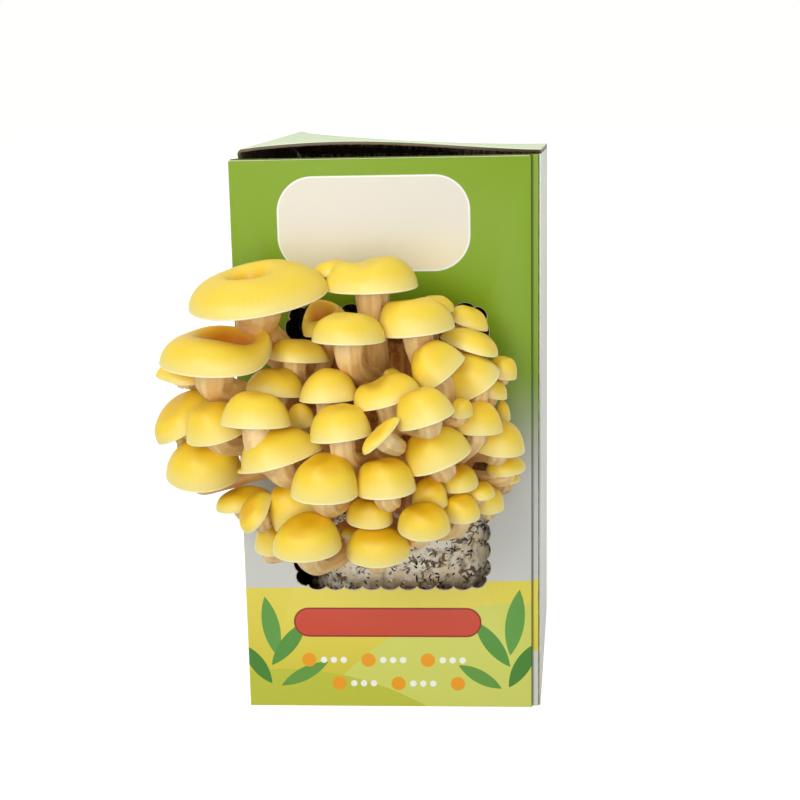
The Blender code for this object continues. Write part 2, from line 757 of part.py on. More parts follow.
class ClumpShape:
    """One clump of stems: a trunk from the block, forking to a stem for each cap."""

    def __init__(self, name, shapes):
        """Work out where the trunk starts and forks."""
        clump = CLUMPS[name]
        self.members = [shape for shape in shapes if shape.cap.clump == name]
        self.root = Vector((clump.x * MM, BLOCK_FRONT + ROOT_DEPTH, clump.z * MM))
        self.radius = clump.radius * MM
        middle = sum((shape.centre() for shape in self.members), Vector()) / len(self.members)
        room = WINDOW_WIDTH / 2 - 2 * SCALLOP_DEPTH - self.radius
        aside = self.root.lerp(middle, TRUNK_SHARE)
        self.fork = Vector((max(-room, min(room, aside.x - window_middle_x())) + window_middle_x(),
                            COVER_Y - FORK_CLEARANCE, aside.z))
        self.routes = []

    def trunk(self, grow=0.0):
        """Return the trunk as a closed tube."""
        radius = self.radius + grow
        along = [self.root, self.root.lerp(self.fork, 0.5), self.fork]
        return tube(along, [radius, radius, radius * TRUNK_TAPER], TRUNK_SIDES)

    def foot(self, place):
        """Return where a stem starts inside the trunk: each at its own depth and side."""
        share = FOOT_FIRST + FOOT_RANGE * (place + 0.5) / len(self.members)
        angle = place * GOLDEN_ANGLE
        aside = Vector((math.cos(angle), 0, math.sin(angle))) * self.radius * FOOT_SPREAD
        return self.root.lerp(self.fork, share) + aside

    def route(self, shape, setback, droop, swing, raise_by):
        """Return a stem's points, from inside the trunk to its cap's underside."""
        height = shape.seat(shape.stem_radius() * STEM_FLARE, setback)
        seat = shape.centre() + shape.axis * height - shape.near * setback * shape.half_depth
        neck = seat - shape.axis * shape.stem_radius()
        down = -(shape.axis + shape.near * setback * STEM_BACKWARD).normalized()
        start = self.foot(self.members.index(shape))
        length = (neck - start).length
        outward = (self.fork - self.root).normalized()
        aside = shape.across * swing + Vector((0, 0, raise_by))
        pull = start + outward * STEM_PULL * length + aside
        bend = neck + down * droop * length + aside
        points = [bezier(start, pull, bend, neck, step / STEM_STEPS)
                  for step in range(STEM_STEPS + 1)]
        return points + [seat]

    def stem(self, shape, points, grow=0.0):
        """Return one stem as a closed tube along its route."""
        thick = shape.stem_radius()
        radii = [thick * STEM_FOOT] * STEM_STEPS + [thick, thick * STEM_FLARE]
        return tube(points, [radius + grow for radius in radii], STEM_SIDES)

    def lay(self, obstacles):
        """Give each stem the first route that is clear of the caps and the other clumps."""
        for shape in self.members:
            best = None
            for choice in product(STEM_SETBACKS, STEM_DROOPS, STEM_SWINGS, STEM_RAISES):
                points = self.route(shape, *choice)
                trial = tree_of(self.stem(shape, points, STEM_CLEARANCE / 2))
                hits = sum(len(trial.overlap(tree)) for tree in obstacles)
                if best is None or hits < best[0]:
                    best = (hits, points)
                if hits == 0:
                    break
            self.routes.append((shape, best[1]))

    def solid(self, grow=0.0):
        """Return the whole clump as one closed mesh; grow makes it thicker all round."""
        whole = self.trunk(grow)
        for shape, points in self.routes:
            whole = combine(whole, self.stem(shape, points, grow), "UNION", crossing=True)
        return whole


def build_carton():
    """Make the carton, its outer front layer, the lid and the growing block."""
    add_object("carton_body", carton_shell(), material("grey_board", GREY_BOARD))
    add_object("carton_cover", cover_sheet(), material("printed_board", PRINTED_BOARD))
    hinge = racked(CARTON_WIDTH / 2, FRONT_Y, CARTON_HEIGHT + GAP)
    lid = add_object("lid", lid_sheet(hinge), material("pale_board", PALE_BOARD))
    lid.location = hinge
    straw = material("grown_straw", GROWN_STRAW)
    add_object("substrate_block", growing_block(), straw, SMOOTH_ANGLE)


def build_mushrooms():
    """Make the caps and the clumps of stems that carry them."""
    skin = material("cap_skin", CAP_SKIN)
    flesh = material("stem_flesh", STEM_FLESH)
    shapes = [CapShape(cap, index) for index, cap in enumerate(CAPS)]
    settle_caps(shapes)
    for shape in shapes:
        name = f"cap_{shape.index + 1:02d}"
        cap = add_object(name, shape.mesh(name), skin, CAP_SMOOTH_ANGLE)
        cap.location = shape.centre()
    cutters = [placed(shape.mesh("cutter", CAP_CLEARANCE), shape.centre()) for shape in shapes]
    obstacles = [tree_of(placed(shape.mesh("trial"), shape.centre())) for shape in shapes]
    cutters.append(growing_block(GAP))
    obstacles += [tree_of(cover_sheet()), tree_of(carton_shell())]
    for clump_name in CLUMPS:
        clump = ClumpShape(clump_name, shapes)
        clump.lay(obstacles)
        whole = clump.solid()
        for cutter in cutters:
            if touching(whole, cutter):
                whole = combine(whole, cutter, "DIFFERENCE", crossing=True)
        add_object(f"stems_{clump_name}", whole, flesh, SMOOTH_ANGLE)
        swollen = clump.solid(STEM_CLEARANCE)
        cutters.append(swollen)
        obstacles.append(tree_of(swollen))


def main():
    """Build the whole kit."""
    clear_scene()
    build_carton()
    build_mushrooms()


main()
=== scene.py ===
"""Looks of the oyster mushroom grow kit: its caps, stems, growing block and printed carton.

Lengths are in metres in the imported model's frame: +Z up, the origin in the middle of the
carton's bottom, the front with the window facing -Y.
"""
import json
import logging
import math
from dataclasses import dataclass, field
from enum import Enum
from itertools import product
from typing import Optional, Sequence, Union

import bmesh
import bpy
import numpy as np
from mathutils import Matrix, Vector, noise
from mathutils.bvhtree import BVHTree

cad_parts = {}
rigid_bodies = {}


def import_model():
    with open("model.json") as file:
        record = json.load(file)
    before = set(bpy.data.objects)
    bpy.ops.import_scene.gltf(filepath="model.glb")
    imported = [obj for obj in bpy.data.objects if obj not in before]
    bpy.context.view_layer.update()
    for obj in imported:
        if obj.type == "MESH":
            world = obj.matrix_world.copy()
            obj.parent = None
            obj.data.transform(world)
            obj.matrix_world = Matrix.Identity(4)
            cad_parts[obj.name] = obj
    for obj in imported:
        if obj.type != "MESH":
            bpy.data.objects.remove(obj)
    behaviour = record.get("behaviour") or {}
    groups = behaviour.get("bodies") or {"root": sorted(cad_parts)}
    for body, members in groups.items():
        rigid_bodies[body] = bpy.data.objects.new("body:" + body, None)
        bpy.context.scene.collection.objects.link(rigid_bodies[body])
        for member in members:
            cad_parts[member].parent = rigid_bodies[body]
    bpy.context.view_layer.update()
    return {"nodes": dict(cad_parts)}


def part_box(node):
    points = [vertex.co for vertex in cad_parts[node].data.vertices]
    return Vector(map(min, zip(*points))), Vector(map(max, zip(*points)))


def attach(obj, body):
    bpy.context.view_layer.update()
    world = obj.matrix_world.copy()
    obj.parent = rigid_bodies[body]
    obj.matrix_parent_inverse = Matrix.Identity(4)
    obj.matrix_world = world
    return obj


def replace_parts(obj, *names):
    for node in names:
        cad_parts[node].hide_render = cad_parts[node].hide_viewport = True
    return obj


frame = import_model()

MM = 0.001
EDGE_BLUR = 0.08 * MM
TURN = 2 * math.pi
GOLDEN_ANGLE = math.radians(137.5)
LOG = logging.getLogger("grow_kit")

Pair = tuple[float, float]
Triple = tuple[float, float, float]
Colour = tuple[float, float, float, float]
Faces = list[tuple[int, ...]]
Array = np.ndarray
Mesh = bpy.types.Mesh
Material = bpy.types.Material
Piece = bpy.types.Object
Socket = bpy.types.NodeSocket
Input = Union[float, Sequence[float], Socket]


def srgb(red: int, green: int, blue: int) -> Colour:
    """Return a linear colour from screen values.

    Args:
        red: Red from 0 to 255.
        green: Green from 0 to 255.
        blue: Blue from 0 to 255.

    Returns:
        The linear red, green and blue, and an alpha of 1.
    """
    shares = [value / 255 for value in (red, green, blue)]
    linear = [s / 12.92 if s <= 0.04045 else ((s + 0.055) / 1.055) ** 2.4 for s in shares]
    return (linear[0], linear[1], linear[2], 1.0)


def smooth(values: Array, low: float, high: float) -> Array:
    """Return a smooth step of values from 0 at low to 1 at high."""
    share = np.clip((values - low) / (high - low), 0.0, 1.0)
    return share * share * (3 - 2 * share)


class Tree:
    """A node tree, with short calls for adding nodes to it."""

    def __init__(self, tree: bpy.types.NodeTree) -> None:
        """Take up a tree."""
        self.tree = tree

    def feed(self, node: bpy.types.Node, inputs: dict[Union[str, int], Input]) -> None:
        """Link or set a node's inputs, by name or number."""
        for key, value in inputs.items():
            if isinstance(value, Socket):
                self.tree.links.new(value, node.inputs[key])
            else:
                node.inputs[key].default_value = value

    def node(self, kind: str, inputs: dict[Union[str, int], Input], **settings: object) -> bpy.types.Node:
        """Add a node.

        Args:
            kind: The node's type.
            inputs: Values or sockets by input name or number.
            **settings: The node's own settings.

        Returns:
            The node.
        """
        made = self.tree.nodes.new(kind)
        for key, value in settings.items():
            setattr(made, key, value)
        self.feed(made, inputs)
        return made

    def math(self, operation: str, first: Input, second: Input = 0.0) -> Socket:
        """Return the result of a Math node."""
        return self.node("ShaderNodeMath", {0: first, 1: second}, operation=operation).outputs[0]

    def times(self, first: Input, second: Input) -> Socket:
        """Return the product of two values."""
        return self.math("MULTIPLY", first, second)

    def vector(self, operation: str, first: Input, second: Input = (0, 0, 0)) -> bpy.types.Node:
        """Return a Vector Math node."""
        return self.node("ShaderNodeVectorMath", {0: first, 1: second}, operation=operation)

    def step(self, value: Input, low: float, high: float, start: float = 0.0, end: float = 1.0) -> Socket:
        """Return a smooth step of a value, from start at low to end at high."""
        inputs = {"Value": value, "From Min": low, "From Max": high, "To Min": start, "To Max": end}
        return self.node("ShaderNodeMapRange", inputs, interpolation_type="SMOOTHSTEP").outputs[0]

    def parts(self, vector: Input) -> tuple[Socket, ...]:
        """Return a vector's X, Y and Z."""
        return tuple(self.node("ShaderNodeSeparateXYZ", {0: vector}).outputs)


class Shade(Tree):
    """A material's node tree, with short calls for the nodes that the finishes use."""

    def __init__(self, name: str) -> None:
        """Start a material with this name."""
        self.material = bpy.data.materials.new(name)
        self.material.use_nodes = True
        super().__init__(self.material.node_tree)
        self.shader = self.tree.nodes["Principled BSDF"]

    def mix(self, share: Input, first: Input, second: Input, blend: str = "MIX") -> Socket:
        """Return a mix of two colours."""
        inputs = {0: share, 6: first, 7: second}
        return self.node("ShaderNodeMix", inputs, data_type="RGBA", blend_type=blend).outputs[2]

    def veils(self, colour: Input, *layers: tuple[Input, Input, float]) -> Input:
        """Return a colour with layers over it in turn, each a tone, a mask and a strength."""
        for tone, mask, strength in layers:
            colour = self.mix(self.times(mask, strength), colour, tone)
        return colour

    def noise(self, place: Input, scale: float, detail: float = 3.0, rough: float = 0.5) -> Socket:
        """Return a noise pattern from 0 to 1 at a place."""
        inputs = {"Vector": place, "Scale": scale, "Detail": detail, "Roughness": rough}
        return self.node("ShaderNodeTexNoise", inputs).outputs["Fac"]

    def stretched(self, place: Input, scale: Triple) -> Socket:
        """Return a place scaled along its axes."""
        return self.node("ShaderNodeMapping", {"Vector": place, "Scale": scale}).outputs[0]

    def swirl(self, place: Input, scale: float = 300.0, reach: float = 3.0 * MM) -> Socket:
        """Return a small shift that bends a pattern at a place."""
        inputs = {"Vector": place, "Scale": scale, "Detail": 2.0}
        noise_colour = self.node("ShaderNodeTexNoise", inputs).outputs["Color"]
        return self.vector("MULTIPLY", noise_colour, (reach, reach, reach)).outputs[0]

    def attribute(self, name: str, output: str = "Fac") -> Socket:
        """Return a mesh attribute."""
        return self.node("ShaderNodeAttribute", {}, attribute_name=name).outputs[output]

    def place(self) -> Socket:
        """Return Object coordinates."""
        return self.node("ShaderNodeTexCoord", {}).outputs["Object"]

    def relief(self, *layers: tuple[Input, float, float]) -> None:
        """Give the surface bumps.

        Args:
            *layers: A height, a strength and a distance for each layer.
        """
        normal = None
        for height, strength, distance in layers:
            inputs: dict = {"Height": height, "Strength": strength, "Distance": distance}
            if normal is not None:
                inputs["Normal"] = normal
            normal = self.node("ShaderNodeBump", inputs).outputs[0]
        self.tree.links.new(normal, self.shader.inputs["Normal"])

    def finish(self, colour: Input, rough: Input, **levels: Input) -> Material:
        """Set the shader's colour, roughness and other levels.

        Args:
            colour: The base colour.
            rough: The roughness.
            **levels: Other inputs by name, with _ for a space.

        Returns:
            The material.
        """
        values = {"Base Color": colour, "Roughness": rough}
        values.update({key.replace("_", " "): value for key, value in levels.items()})
        self.feed(self.shader, values)
        return self.material


@dataclass(frozen=True)
class CapSkin:
    """Moist yellow skin: deep at the crown, paler towards a cream rim, gills beneath, with painted shade
    and light laid over it.
    """

    crown: Colour = srgb(236, 184, 14)
    shoulder: Colour = srgb(249, 215, 56)
    rim: Colour = srgb(248, 230, 138)
    edge: Colour = srgb(253, 241, 190)
    # The pit and groove colours are painted shade: in the dimples, inside rolled-up backs and between the
    # gills.
    pit: Colour = srgb(206, 128, 8)
    gill: Colour = srgb(236, 204, 148)
    groove: Colour = srgb(190, 130, 66)
    rough: float = 0.38
    wander: float = 0.22
    paler_above: float = 0.10
    streaks: float = 0.10

    def make(self) -> Material:
        """Return the material, which reads the caps' rimward, deep, under, gill, pit and spoke."""
        shade = Shade("cap_skin")
        place = shade.place()
        deep = shade.attribute("deep")
        cloud = shade.noise(place, 70.0, 3.0)
        fine = shade.noise(place, 900.0, 2.0)
        spoke = shade.stretched(shade.attribute("spoke", "Vector"), (9.0, 9.0, 1.2))
        fibre = shade.noise(spoke, 3.0, 4.0, 0.6)
        wander = shade.times(shade.math("SUBTRACT", cloud, 0.5), self.wander)
        travel = shade.math("ADD", shade.attribute("rimward"), wander)
        # Painted shade: the deep crown colour, strongest on the caps seen lower, stands in for the shade of
        # the caps above.
        crown_shade = shade.times(shade.step(travel, 0.36, -0.04), deep)
        # Painted shade: the gills' grooves are darker.
        gills = shade.mix(shade.attribute("gill"), self.groove, self.gill)
        colour = shade.veils(
            shade.mix(shade.step(travel, 0.30, 1.00), self.shoulder, self.rim),
            (self.crown, crown_shade, 1.0),
            # Painted light: the upper caps are laid paler, as if lit from above.
            (self.rim, shade.math("SUBTRACT", 1.0, deep), self.paler_above),
            (self.crown, shade.step(fibre, 0.52, 0.80), self.streaks),
            # Painted shade in the dimples and inside the rolled-up backs of funnels.
            (self.pit, shade.attribute("pit"), 1.0),
            (self.edge, shade.attribute("edge"), 1.0),
            (gills, shade.attribute("under"), 1.0))
        shade.relief((fibre, 0.10, 0.6 * MM), (fine, 0.06, 0.2 * MM))
        rough = shade.math("ADD", self.rough, shade.times(cloud, 0.10))
        return shade.finish(colour, rough, Subsurface_Weight=0.16, Subsurface_Scale=3 * MM,
                            Subsurface_Radius=(1.0, 0.62, 0.16), Coat_Weight=0.10,
                            Coat_Roughness=0.25, Specular_IOR_Level=0.4)


@dataclass(frozen=True)
class StemFlesh:
    """Fibrous stem flesh: peach, streaked along its length, paler towards the gills, with painted shade low
    down, towards the back and in its grooves.
    """

    flesh: Colour = srgb(244, 202, 124)
    light: Colour = srgb(254, 234, 180)
    shade: Colour = srgb(226, 170, 84)
    # Painted shade: the deep colour low on the stems and towards the back of the cluster.
    deep: Colour = srgb(168, 90, 4)
    rough: float = 0.55
    dim_from: float = -92 * MM
    dim_to: float = -64 * MM

    def make(self) -> Material:
        """Return the material, which reads the stems' fibre, groove and rise."""
        shade = Shade("stem_flesh")
        place = shade.place()
        fibre = shade.attribute("fibre", "Vector")
        rise = shade.attribute("rise")
        coarse = shade.noise(shade.stretched(fibre, (2.2, 2.2, 0.05)), 1.6, 3.0, 0.6)
        fine = shade.noise(shade.stretched(fibre, (7.0, 7.0, 0.10)), 2.2, 3.0, 0.6)
        cloud = shade.noise(place, 60.0, 3.0)
        colour = shade.veils(
            shade.mix(shade.step(coarse, 0.22, 0.58), self.shade, self.flesh),
            (self.light, shade.step(fine, 0.35, 0.80), 0.45),
            (self.light, shade.step(rise, 0.60, 1.0), 0.50),
            # Painted shade at the stems' feet and on the trunk, in the gaps under the caps.
            (self.deep, shade.step(rise, 0.50, 0.02), 0.80),
            (self.shade, shade.step(cloud, 0.50, 0.75), 0.15),
            # Painted shade in the grooves between the ridges.
            (self.shade, shade.attribute("groove"), 0.45),
            # Painted shade: darker towards the back of the cluster.
            (self.deep, shade.step(shade.parts(place)[1], self.dim_from, self.dim_to), 0.65))
        shade.relief((fine, 0.35, 0.5 * MM), (cloud, 0.15, 0.6 * MM))
        return shade.finish(colour, self.rough, Subsurface_Weight=0.18, Subsurface_Scale=3 * MM,
                            Subsurface_Radius=(1.0, 0.55, 0.28))


@dataclass(frozen=True)
class GrownStraw:
    """Straw and husk bound by pale threads, with dark flecks, and painted shade in its pits and cracks,
    near the window's edges and behind the cluster.
    """

    threads: Colour = srgb(255, 251, 232)
    straw: Colour = srgb(250, 232, 194)
    # Dark flecks, and painted shade in the pits and cracks.
    hollow: Colour = srgb(96, 70, 40)
    # Painted shade towards the window's edges.
    window_shade: Colour = srgb(140, 110, 70)
    clump_scale: float = 290.0
    # Painted shade behind the cluster: orange-brown, streaked like stem flesh.
    gap_shade: Colour = srgb(170, 96, 24)
    gap_shade_light: Colour = srgb(214, 152, 78)
    rough: float = 0.92
    # Where the painted window shade starts and where it is full.
    low_edge: Pair = (54 * MM, 45 * MM)
    right_edge: Pair = (33 * MM, 43 * MM)
    left_edge: Pair = (-24 * MM, -40 * MM)

    def make(self) -> Material:
        """Return the material, which reads the block's pit and gap_shade marks."""
        shade = Shade("grown_straw")
        place = shade.place()
        x, _, z = shade.parts(place)
        cloud = shade.noise(place, 120.0, 4.0, 0.6)
        grain = shade.noise(place, 520.0, 4.0, 0.65)
        strands = shade.noise(shade.stretched(place, (1.0, 1.0, 0.15)), 420.0, 3.0, 0.6)
        # Painted shade behind the cluster, streaked like stem flesh.
        flesh = shade.mix(shade.step(strands, 0.40, 0.66), self.gap_shade, self.gap_shade_light)
        warped = shade.vector("ADD", shade.stretched(place, (1.0, 1.0, 1.5)), shade.swirl(place)).outputs[0]
        cells = shade.node("ShaderNodeTexVoronoi", {"Vector": warped, "Scale": self.clump_scale},
                           feature="DISTANCE_TO_EDGE").outputs["Distance"]
        broken = shade.step(shade.noise(place, 190.0, 2.0), 0.50, 0.60)
        crack = shade.times(shade.step(cells, 0.20, 0.08), broken)
        dim = shade.step(cloud, 0.70, 0.40)
        # Painted shade: darker towards the window's lower, right and left edges, where the carton shades
        # the block.
        edges = ((z, *self.low_edge), (x, *self.right_edge), (x, *self.left_edge))
        colour = shade.veils(
            shade.mix(shade.step(cloud, 0.35, 0.62), self.straw, self.threads),
            (self.hollow, shade.step(grain, 0.64, 0.72), 0.4),
            # Painted shade in the cracks and the pits.
            (self.hollow, crack, 0.9),
            (self.hollow, shade.attribute("pit"), 1.0),
            *[(self.window_shade, shade.times(shade.step(*edge), dim), 0.75) for edge in edges],
            (flesh, shade.attribute("gap_shade"), 1.0))
        shade.relief((cloud, 0.5, 1.5 * MM), (grain, 0.6, 0.6 * MM))
        return shade.finish(colour, self.rough)


@dataclass(frozen=True)
class Chip:
    """One kind of small piece on the block: straw bits or dark husks."""

    name: str
    colour: Colour
    length: float
    width: float
    thickness: float
    density: float
    seed: int
    where: str
    darkest: float = 0.55
    rough: float = 0.85

    def make(self) -> Material:
        """Return the chips' material."""
        shade = Shade(self.name)
        tone = shade.noise(shade.place(), 400.0, 2.0)
        dark = tuple(value * self.darkest for value in self.colour[:3]) + (1.0,)
        return shade.finish(shade.mix(shade.step(tone, 0.35, 0.65), dark, self.colour), self.rough)


@dataclass(frozen=True)
class Board:
    """Carton board: the raw grey-brown of its inside and its cut edges, and its plain pale side."""

    raw: Colour = srgb(150, 132, 104)
    cut: Colour = srgb(112, 92, 66)
    dark: Colour = srgb(74, 62, 46)
    pale: Colour = srgb(236, 250, 212)
    pale_dim: Colour = srgb(222, 242, 194)

    def raw_colour(self, shade: Shade, place: Input) -> Socket:
        """Return the raw board's mottled colour."""
        fibre = shade.noise(shade.stretched(place, (1.0, 1.0, 0.4)), 700.0, 3.0, 0.6)
        return shade.mix(shade.step(fibre, 0.35, 0.70), self.dark, self.raw)


@dataclass(frozen=True)
class Leaf:
    """One leaf of the print: its middle, length, width and turn in degrees."""

    x: float
    z: float
    length: float
    width: float
    turn: float
    colour: Colour


@dataclass(frozen=True)
class Panel:
    """A rounded panel of the print: its middle, half its size, its corner's radius and its outline."""

    middle: Pair
    half: Pair
    corner: float
    outline: Colour


@dataclass(frozen=True)
class Print:
    """The carton's printed front: a green ground, grey below it and a yellow field with hills."""

    green: Colour = srgb(122, 156, 8)
    top_green: Colour = srgb(130, 163, 18)
    grey: Colour = srgb(205, 207, 201)
    field_top: Colour = srgb(228, 214, 84)
    field_low: Colour = srgb(208, 194, 56)
    far_hill: Colour = srgb(208, 212, 100)
    near_hill: Colour = srgb(190, 194, 60)
    plaque: Colour = srgb(231, 225, 211)
    plaque_low: Colour = srgb(239, 229, 192)
    line: Colour = srgb(246, 246, 238)
    bar: Colour = srgb(198, 70, 44)
    disc: Colour = srgb(236, 158, 26)
    side: Colour = srgb(206, 209, 196)
    side_low: Colour = srgb(196, 196, 184)
    side_high: Colour = srgb(226, 234, 216)
    cut: Colour = srgb(250, 244, 224)
    cut_dim: Colour = srgb(226, 214, 180)
    # Painted shade, laid over the print in the fold lines and on the front layer's right cut edge.
    crease_shade: Colour = srgb(132, 136, 120)
    grey_from: float = 92 * MM
    green_from: float = 140 * MM
    horizon: float = 52 * MM
    top: float = 220 * MM
    swells: float = 28.0
    swell: float = 1.5 * MM
    softness: float = 0.1 * MM
    outline: float = 0.7 * MM
    far_circle: Triple = (46 * MM, -52 * MM, 96 * MM)
    near_circle: Triple = (-48 * MM, -96 * MM, 112 * MM)
    hills_below: float = 50 * MM
    bar_panel: Panel = Panel((-6 * MM, 36 * MM), (37 * MM, 5.5 * MM), 5.4 * MM, srgb(138, 42, 28))
    plaque_panel: Panel = Panel((-8 * MM, 195 * MM), (36 * MM, 17.5 * MM), 13 * MM, srgb(246, 246, 238))
    plaque_fade: Pair = (200 * MM, 178 * MM)
    bead_pitch: float = 24 * MM
    bead: Pair = (4 * MM, 2.9 * MM)
    dots: tuple[float, ...] = (10 * MM, 14 * MM, 18 * MM)
    dot: float = 1.3 * MM
    bead_rows: tuple[tuple[float, ...], ...] = ((20 * MM, 42 * MM, -7 * MM, 35 * MM),
                                                (10 * MM, 30 * MM, -2 * MM, 28 * MM))

    def within(self, shade: Shade, flat: Input, middle: Pair,
               half: Pair, corner: float) -> Socket:
        """Return 1 inside a rounded rectangle and 0 outside it."""
        offset = shade.vector("SUBTRACT", flat, (middle[0], 0, middle[1])).outputs[0]
        away = shade.vector("ABSOLUTE", offset).outputs[0]
        beyond = shade.vector("SUBTRACT", away, (half[0] - corner, 0, half[1] - corner)).outputs[0]
        kept = shade.vector("MAXIMUM", beyond, (0, 0, 0)).outputs[0]
        distance = shade.vector("LENGTH", kept).outputs["Value"]
        return shade.step(distance, corner + EDGE_BLUR, corner - EDGE_BLUR)

    def round(self, shade: Shade, flat: Input, x: float, z: float, radius: float) -> Socket:
        """Return 1 inside a circle and 0 outside it."""
        distance = shade.vector("DISTANCE", flat, (x, 0, z)).outputs["Value"]
        return shade.step(distance, radius + EDGE_BLUR, radius - EDGE_BLUR)

    def panel(self, shade: Shade, flat: Input, panel: Panel, fill: Input, colour: Input) -> Input:
        """Return the colour with an outlined panel on it."""
        for grow, tone in ((self.outline, panel.outline), (0.0, fill)):
            half = (panel.half[0] + grow, panel.half[1] + grow)
            inside = self.within(shade, flat, panel.middle, half, panel.corner + grow)
            colour = shade.mix(inside, colour, tone)
        return colour

    def leaf(self, shade: Shade, flat: Input, leaf: Leaf) -> Socket:
        """Return 1 inside a leaf, the overlap of two circles."""
        radius = (leaf.length ** 2 / 4 + leaf.width ** 2 / 4) / leaf.width
        offset = radius - leaf.width / 2
        turn = math.radians(leaf.turn)
        across = (math.cos(turn) * offset, -math.sin(turn) * offset)
        masks = [self.round(shade, flat, leaf.x + side * across[0], leaf.z + side * across[1], radius)
                 for side in (-1, 1)]
        return shade.times(*masks)

    def ground(self, shade: Shade, place: Input) -> Socket:
        """Return the print's plain bands: green, grey and the yellow field."""
        x, _, z = shade.parts(place)
        colour = shade.mix(shade.step(z, self.grey_from, self.green_from), self.grey, self.green)
        colour = shade.mix(shade.step(z, self.green_from, self.top), colour, self.top_green)
        field = shade.mix(shade.step(z, 0.0, self.horizon), self.field_low, self.field_top)
        swell = shade.times(shade.math("SINE", shade.times(x, self.swells)), self.swell)
        level = shade.math("SUBTRACT", z, swell)
        below = shade.step(level, self.horizon + self.softness, self.horizon - self.softness)
        return shade.mix(below, colour, field)

    def beads(self, shade: Shade, place: Input, colour: Input, row: tuple[float, ...]) -> Input:
        """Return the colour with a row of discs, each followed by three small dots.

        Args:
            shade: The material.
            place: Where the point is.
            colour: The colour beneath.
            row: The row's height, how far left its pattern starts, its middle and half its length.

        Returns:
            The colour with the row on it.
        """
        level, start, middle, half = row
        x, _, z = shade.parts(place)
        run = shade.math("MODULO", shade.math("ADD", x, start), self.bead_pitch)
        spot = shade.node("ShaderNodeCombineXYZ", {0: run, 1: 0.0, 2: z}).outputs[0]
        away = shade.math("ABSOLUTE", shade.math("SUBTRACT", x, middle))
        kept = shade.step(away, half + self.softness, half - self.softness)
        marks = [(*self.bead, self.disc), *[(along, self.dot, self.line) for along in self.dots]]
        for along, radius, tone in marks:
            mask = shade.times(self.round(shade, spot, along, level, radius), kept)
            colour = shade.mix(mask, colour, tone)
        return colour

    def artwork(self, shade: Shade, place: Input) -> Input:
        """Return the whole front: the bands, hills, leaves, plaque, bar and discs."""
        colour = self.ground(shade, place)
        height = shade.parts(place)[2]
        flat = shade.vector("MULTIPLY", place, (1, 0, 1)).outputs[0]
        below = shade.step(height, self.hills_below, self.hills_below - 2 * self.softness)
        far = shade.times(self.round(shade, flat, *self.far_circle), below)
        colour = shade.mix(far, colour, self.far_hill)
        colour = shade.mix(self.round(shade, flat, *self.near_circle), colour, self.near_hill)
        for leaf in LEAVES:
            colour = shade.mix(self.leaf(shade, flat, leaf), colour, leaf.colour)
        colour = self.panel(shade, flat, self.bar_panel, self.bar, colour)
        for row in self.bead_rows:
            colour = self.beads(shade, place, colour, row)
        sign = shade.mix(shade.step(height, *self.plaque_fade), self.plaque, self.plaque_low)
        return self.panel(shade, flat, self.plaque_panel, sign, colour)


LEAVES = (
    Leaf(-53 * MM, 34 * MM, 26 * MM, 7.0 * MM, -10, srgb(96, 154, 68)),
    Leaf(-46 * MM, 27 * MM, 24 * MM, 6.5 * MM, 38, srgb(84, 144, 58)),
    Leaf(-59 * MM, 18 * MM, 20 * MM, 6.0 * MM, -34, srgb(70, 128, 46)),
    Leaf(-40 * MM, 14 * MM, 22 * MM, 5.5 * MM, 62, srgb(98, 150, 62)),
    Leaf(45 * MM, 36 * MM, 28 * MM, 7.5 * MM, 8, srgb(96, 154, 68)),
    Leaf(36 * MM, 27 * MM, 24 * MM, 6.5 * MM, -36, srgb(84, 144, 58)),
    Leaf(48 * MM, 18 * MM, 22 * MM, 6.5 * MM, 30, srgb(70, 128, 46)),
    Leaf(31 * MM, 13 * MM, 20 * MM, 5.5 * MM, -60, srgb(98, 150, 62)),
)


@dataclass(frozen=True)
class Eye:
    """The place and turn from which the photograph was taken."""

    place: Triple = (35.0 * MM, -592.2 * MM, 233.5 * MM)
    yaw: float = math.radians(-3.68)
    pitch: float = math.radians(11.32)
    roll: float = math.radians(-1.12)
    focal_points: float = 1400.0
    frame_points: float = 800.0
    sensor: float = 36.0
    nearest: float = 10 * MM

    def axes(self) -> tuple[Vector, Vector, Vector]:
        """Return the picture's right, up and forward directions."""
        forward = Vector((math.sin(self.yaw) * math.cos(self.pitch),
                          math.cos(self.yaw) * math.cos(self.pitch), -math.sin(self.pitch)))
        level = Vector((math.cos(self.yaw), -math.sin(self.yaw), 0))
        upright = level.cross(forward)
        right = math.cos(self.roll) * level + math.sin(self.roll) * upright
        above = -math.sin(self.roll) * level + math.cos(self.roll) * upright
        return right, above, forward

    def sight(self, seen_x: float, seen_y: float) -> Vector:
        """Return the direction through a point of the picture."""
        right, above, forward = self.axes()
        across = (seen_x - self.frame_points / 2) / self.focal_points
        down = (seen_y - self.frame_points / 2) / self.focal_points
        return (forward + across * right - down * above).normalized()

    def camera(self) -> None:
        """Set the scene's camera at this eye."""
        data = bpy.data.cameras.new("photo_camera")
        data.sensor_width = self.sensor
        data.lens = self.focal_points * self.sensor / self.frame_points
        data.clip_start = self.nearest
        camera = bpy.data.objects.new("photo_camera", data)
        right, above, forward = self.axes()
        turn = Matrix((right, above, -forward)).transposed().to_4x4()
        turn.translation = Vector(self.place)
        camera.matrix_world = turn
        bpy.context.scene.collection.objects.link(camera)
        bpy.context.scene.camera = camera


EYE = Eye()


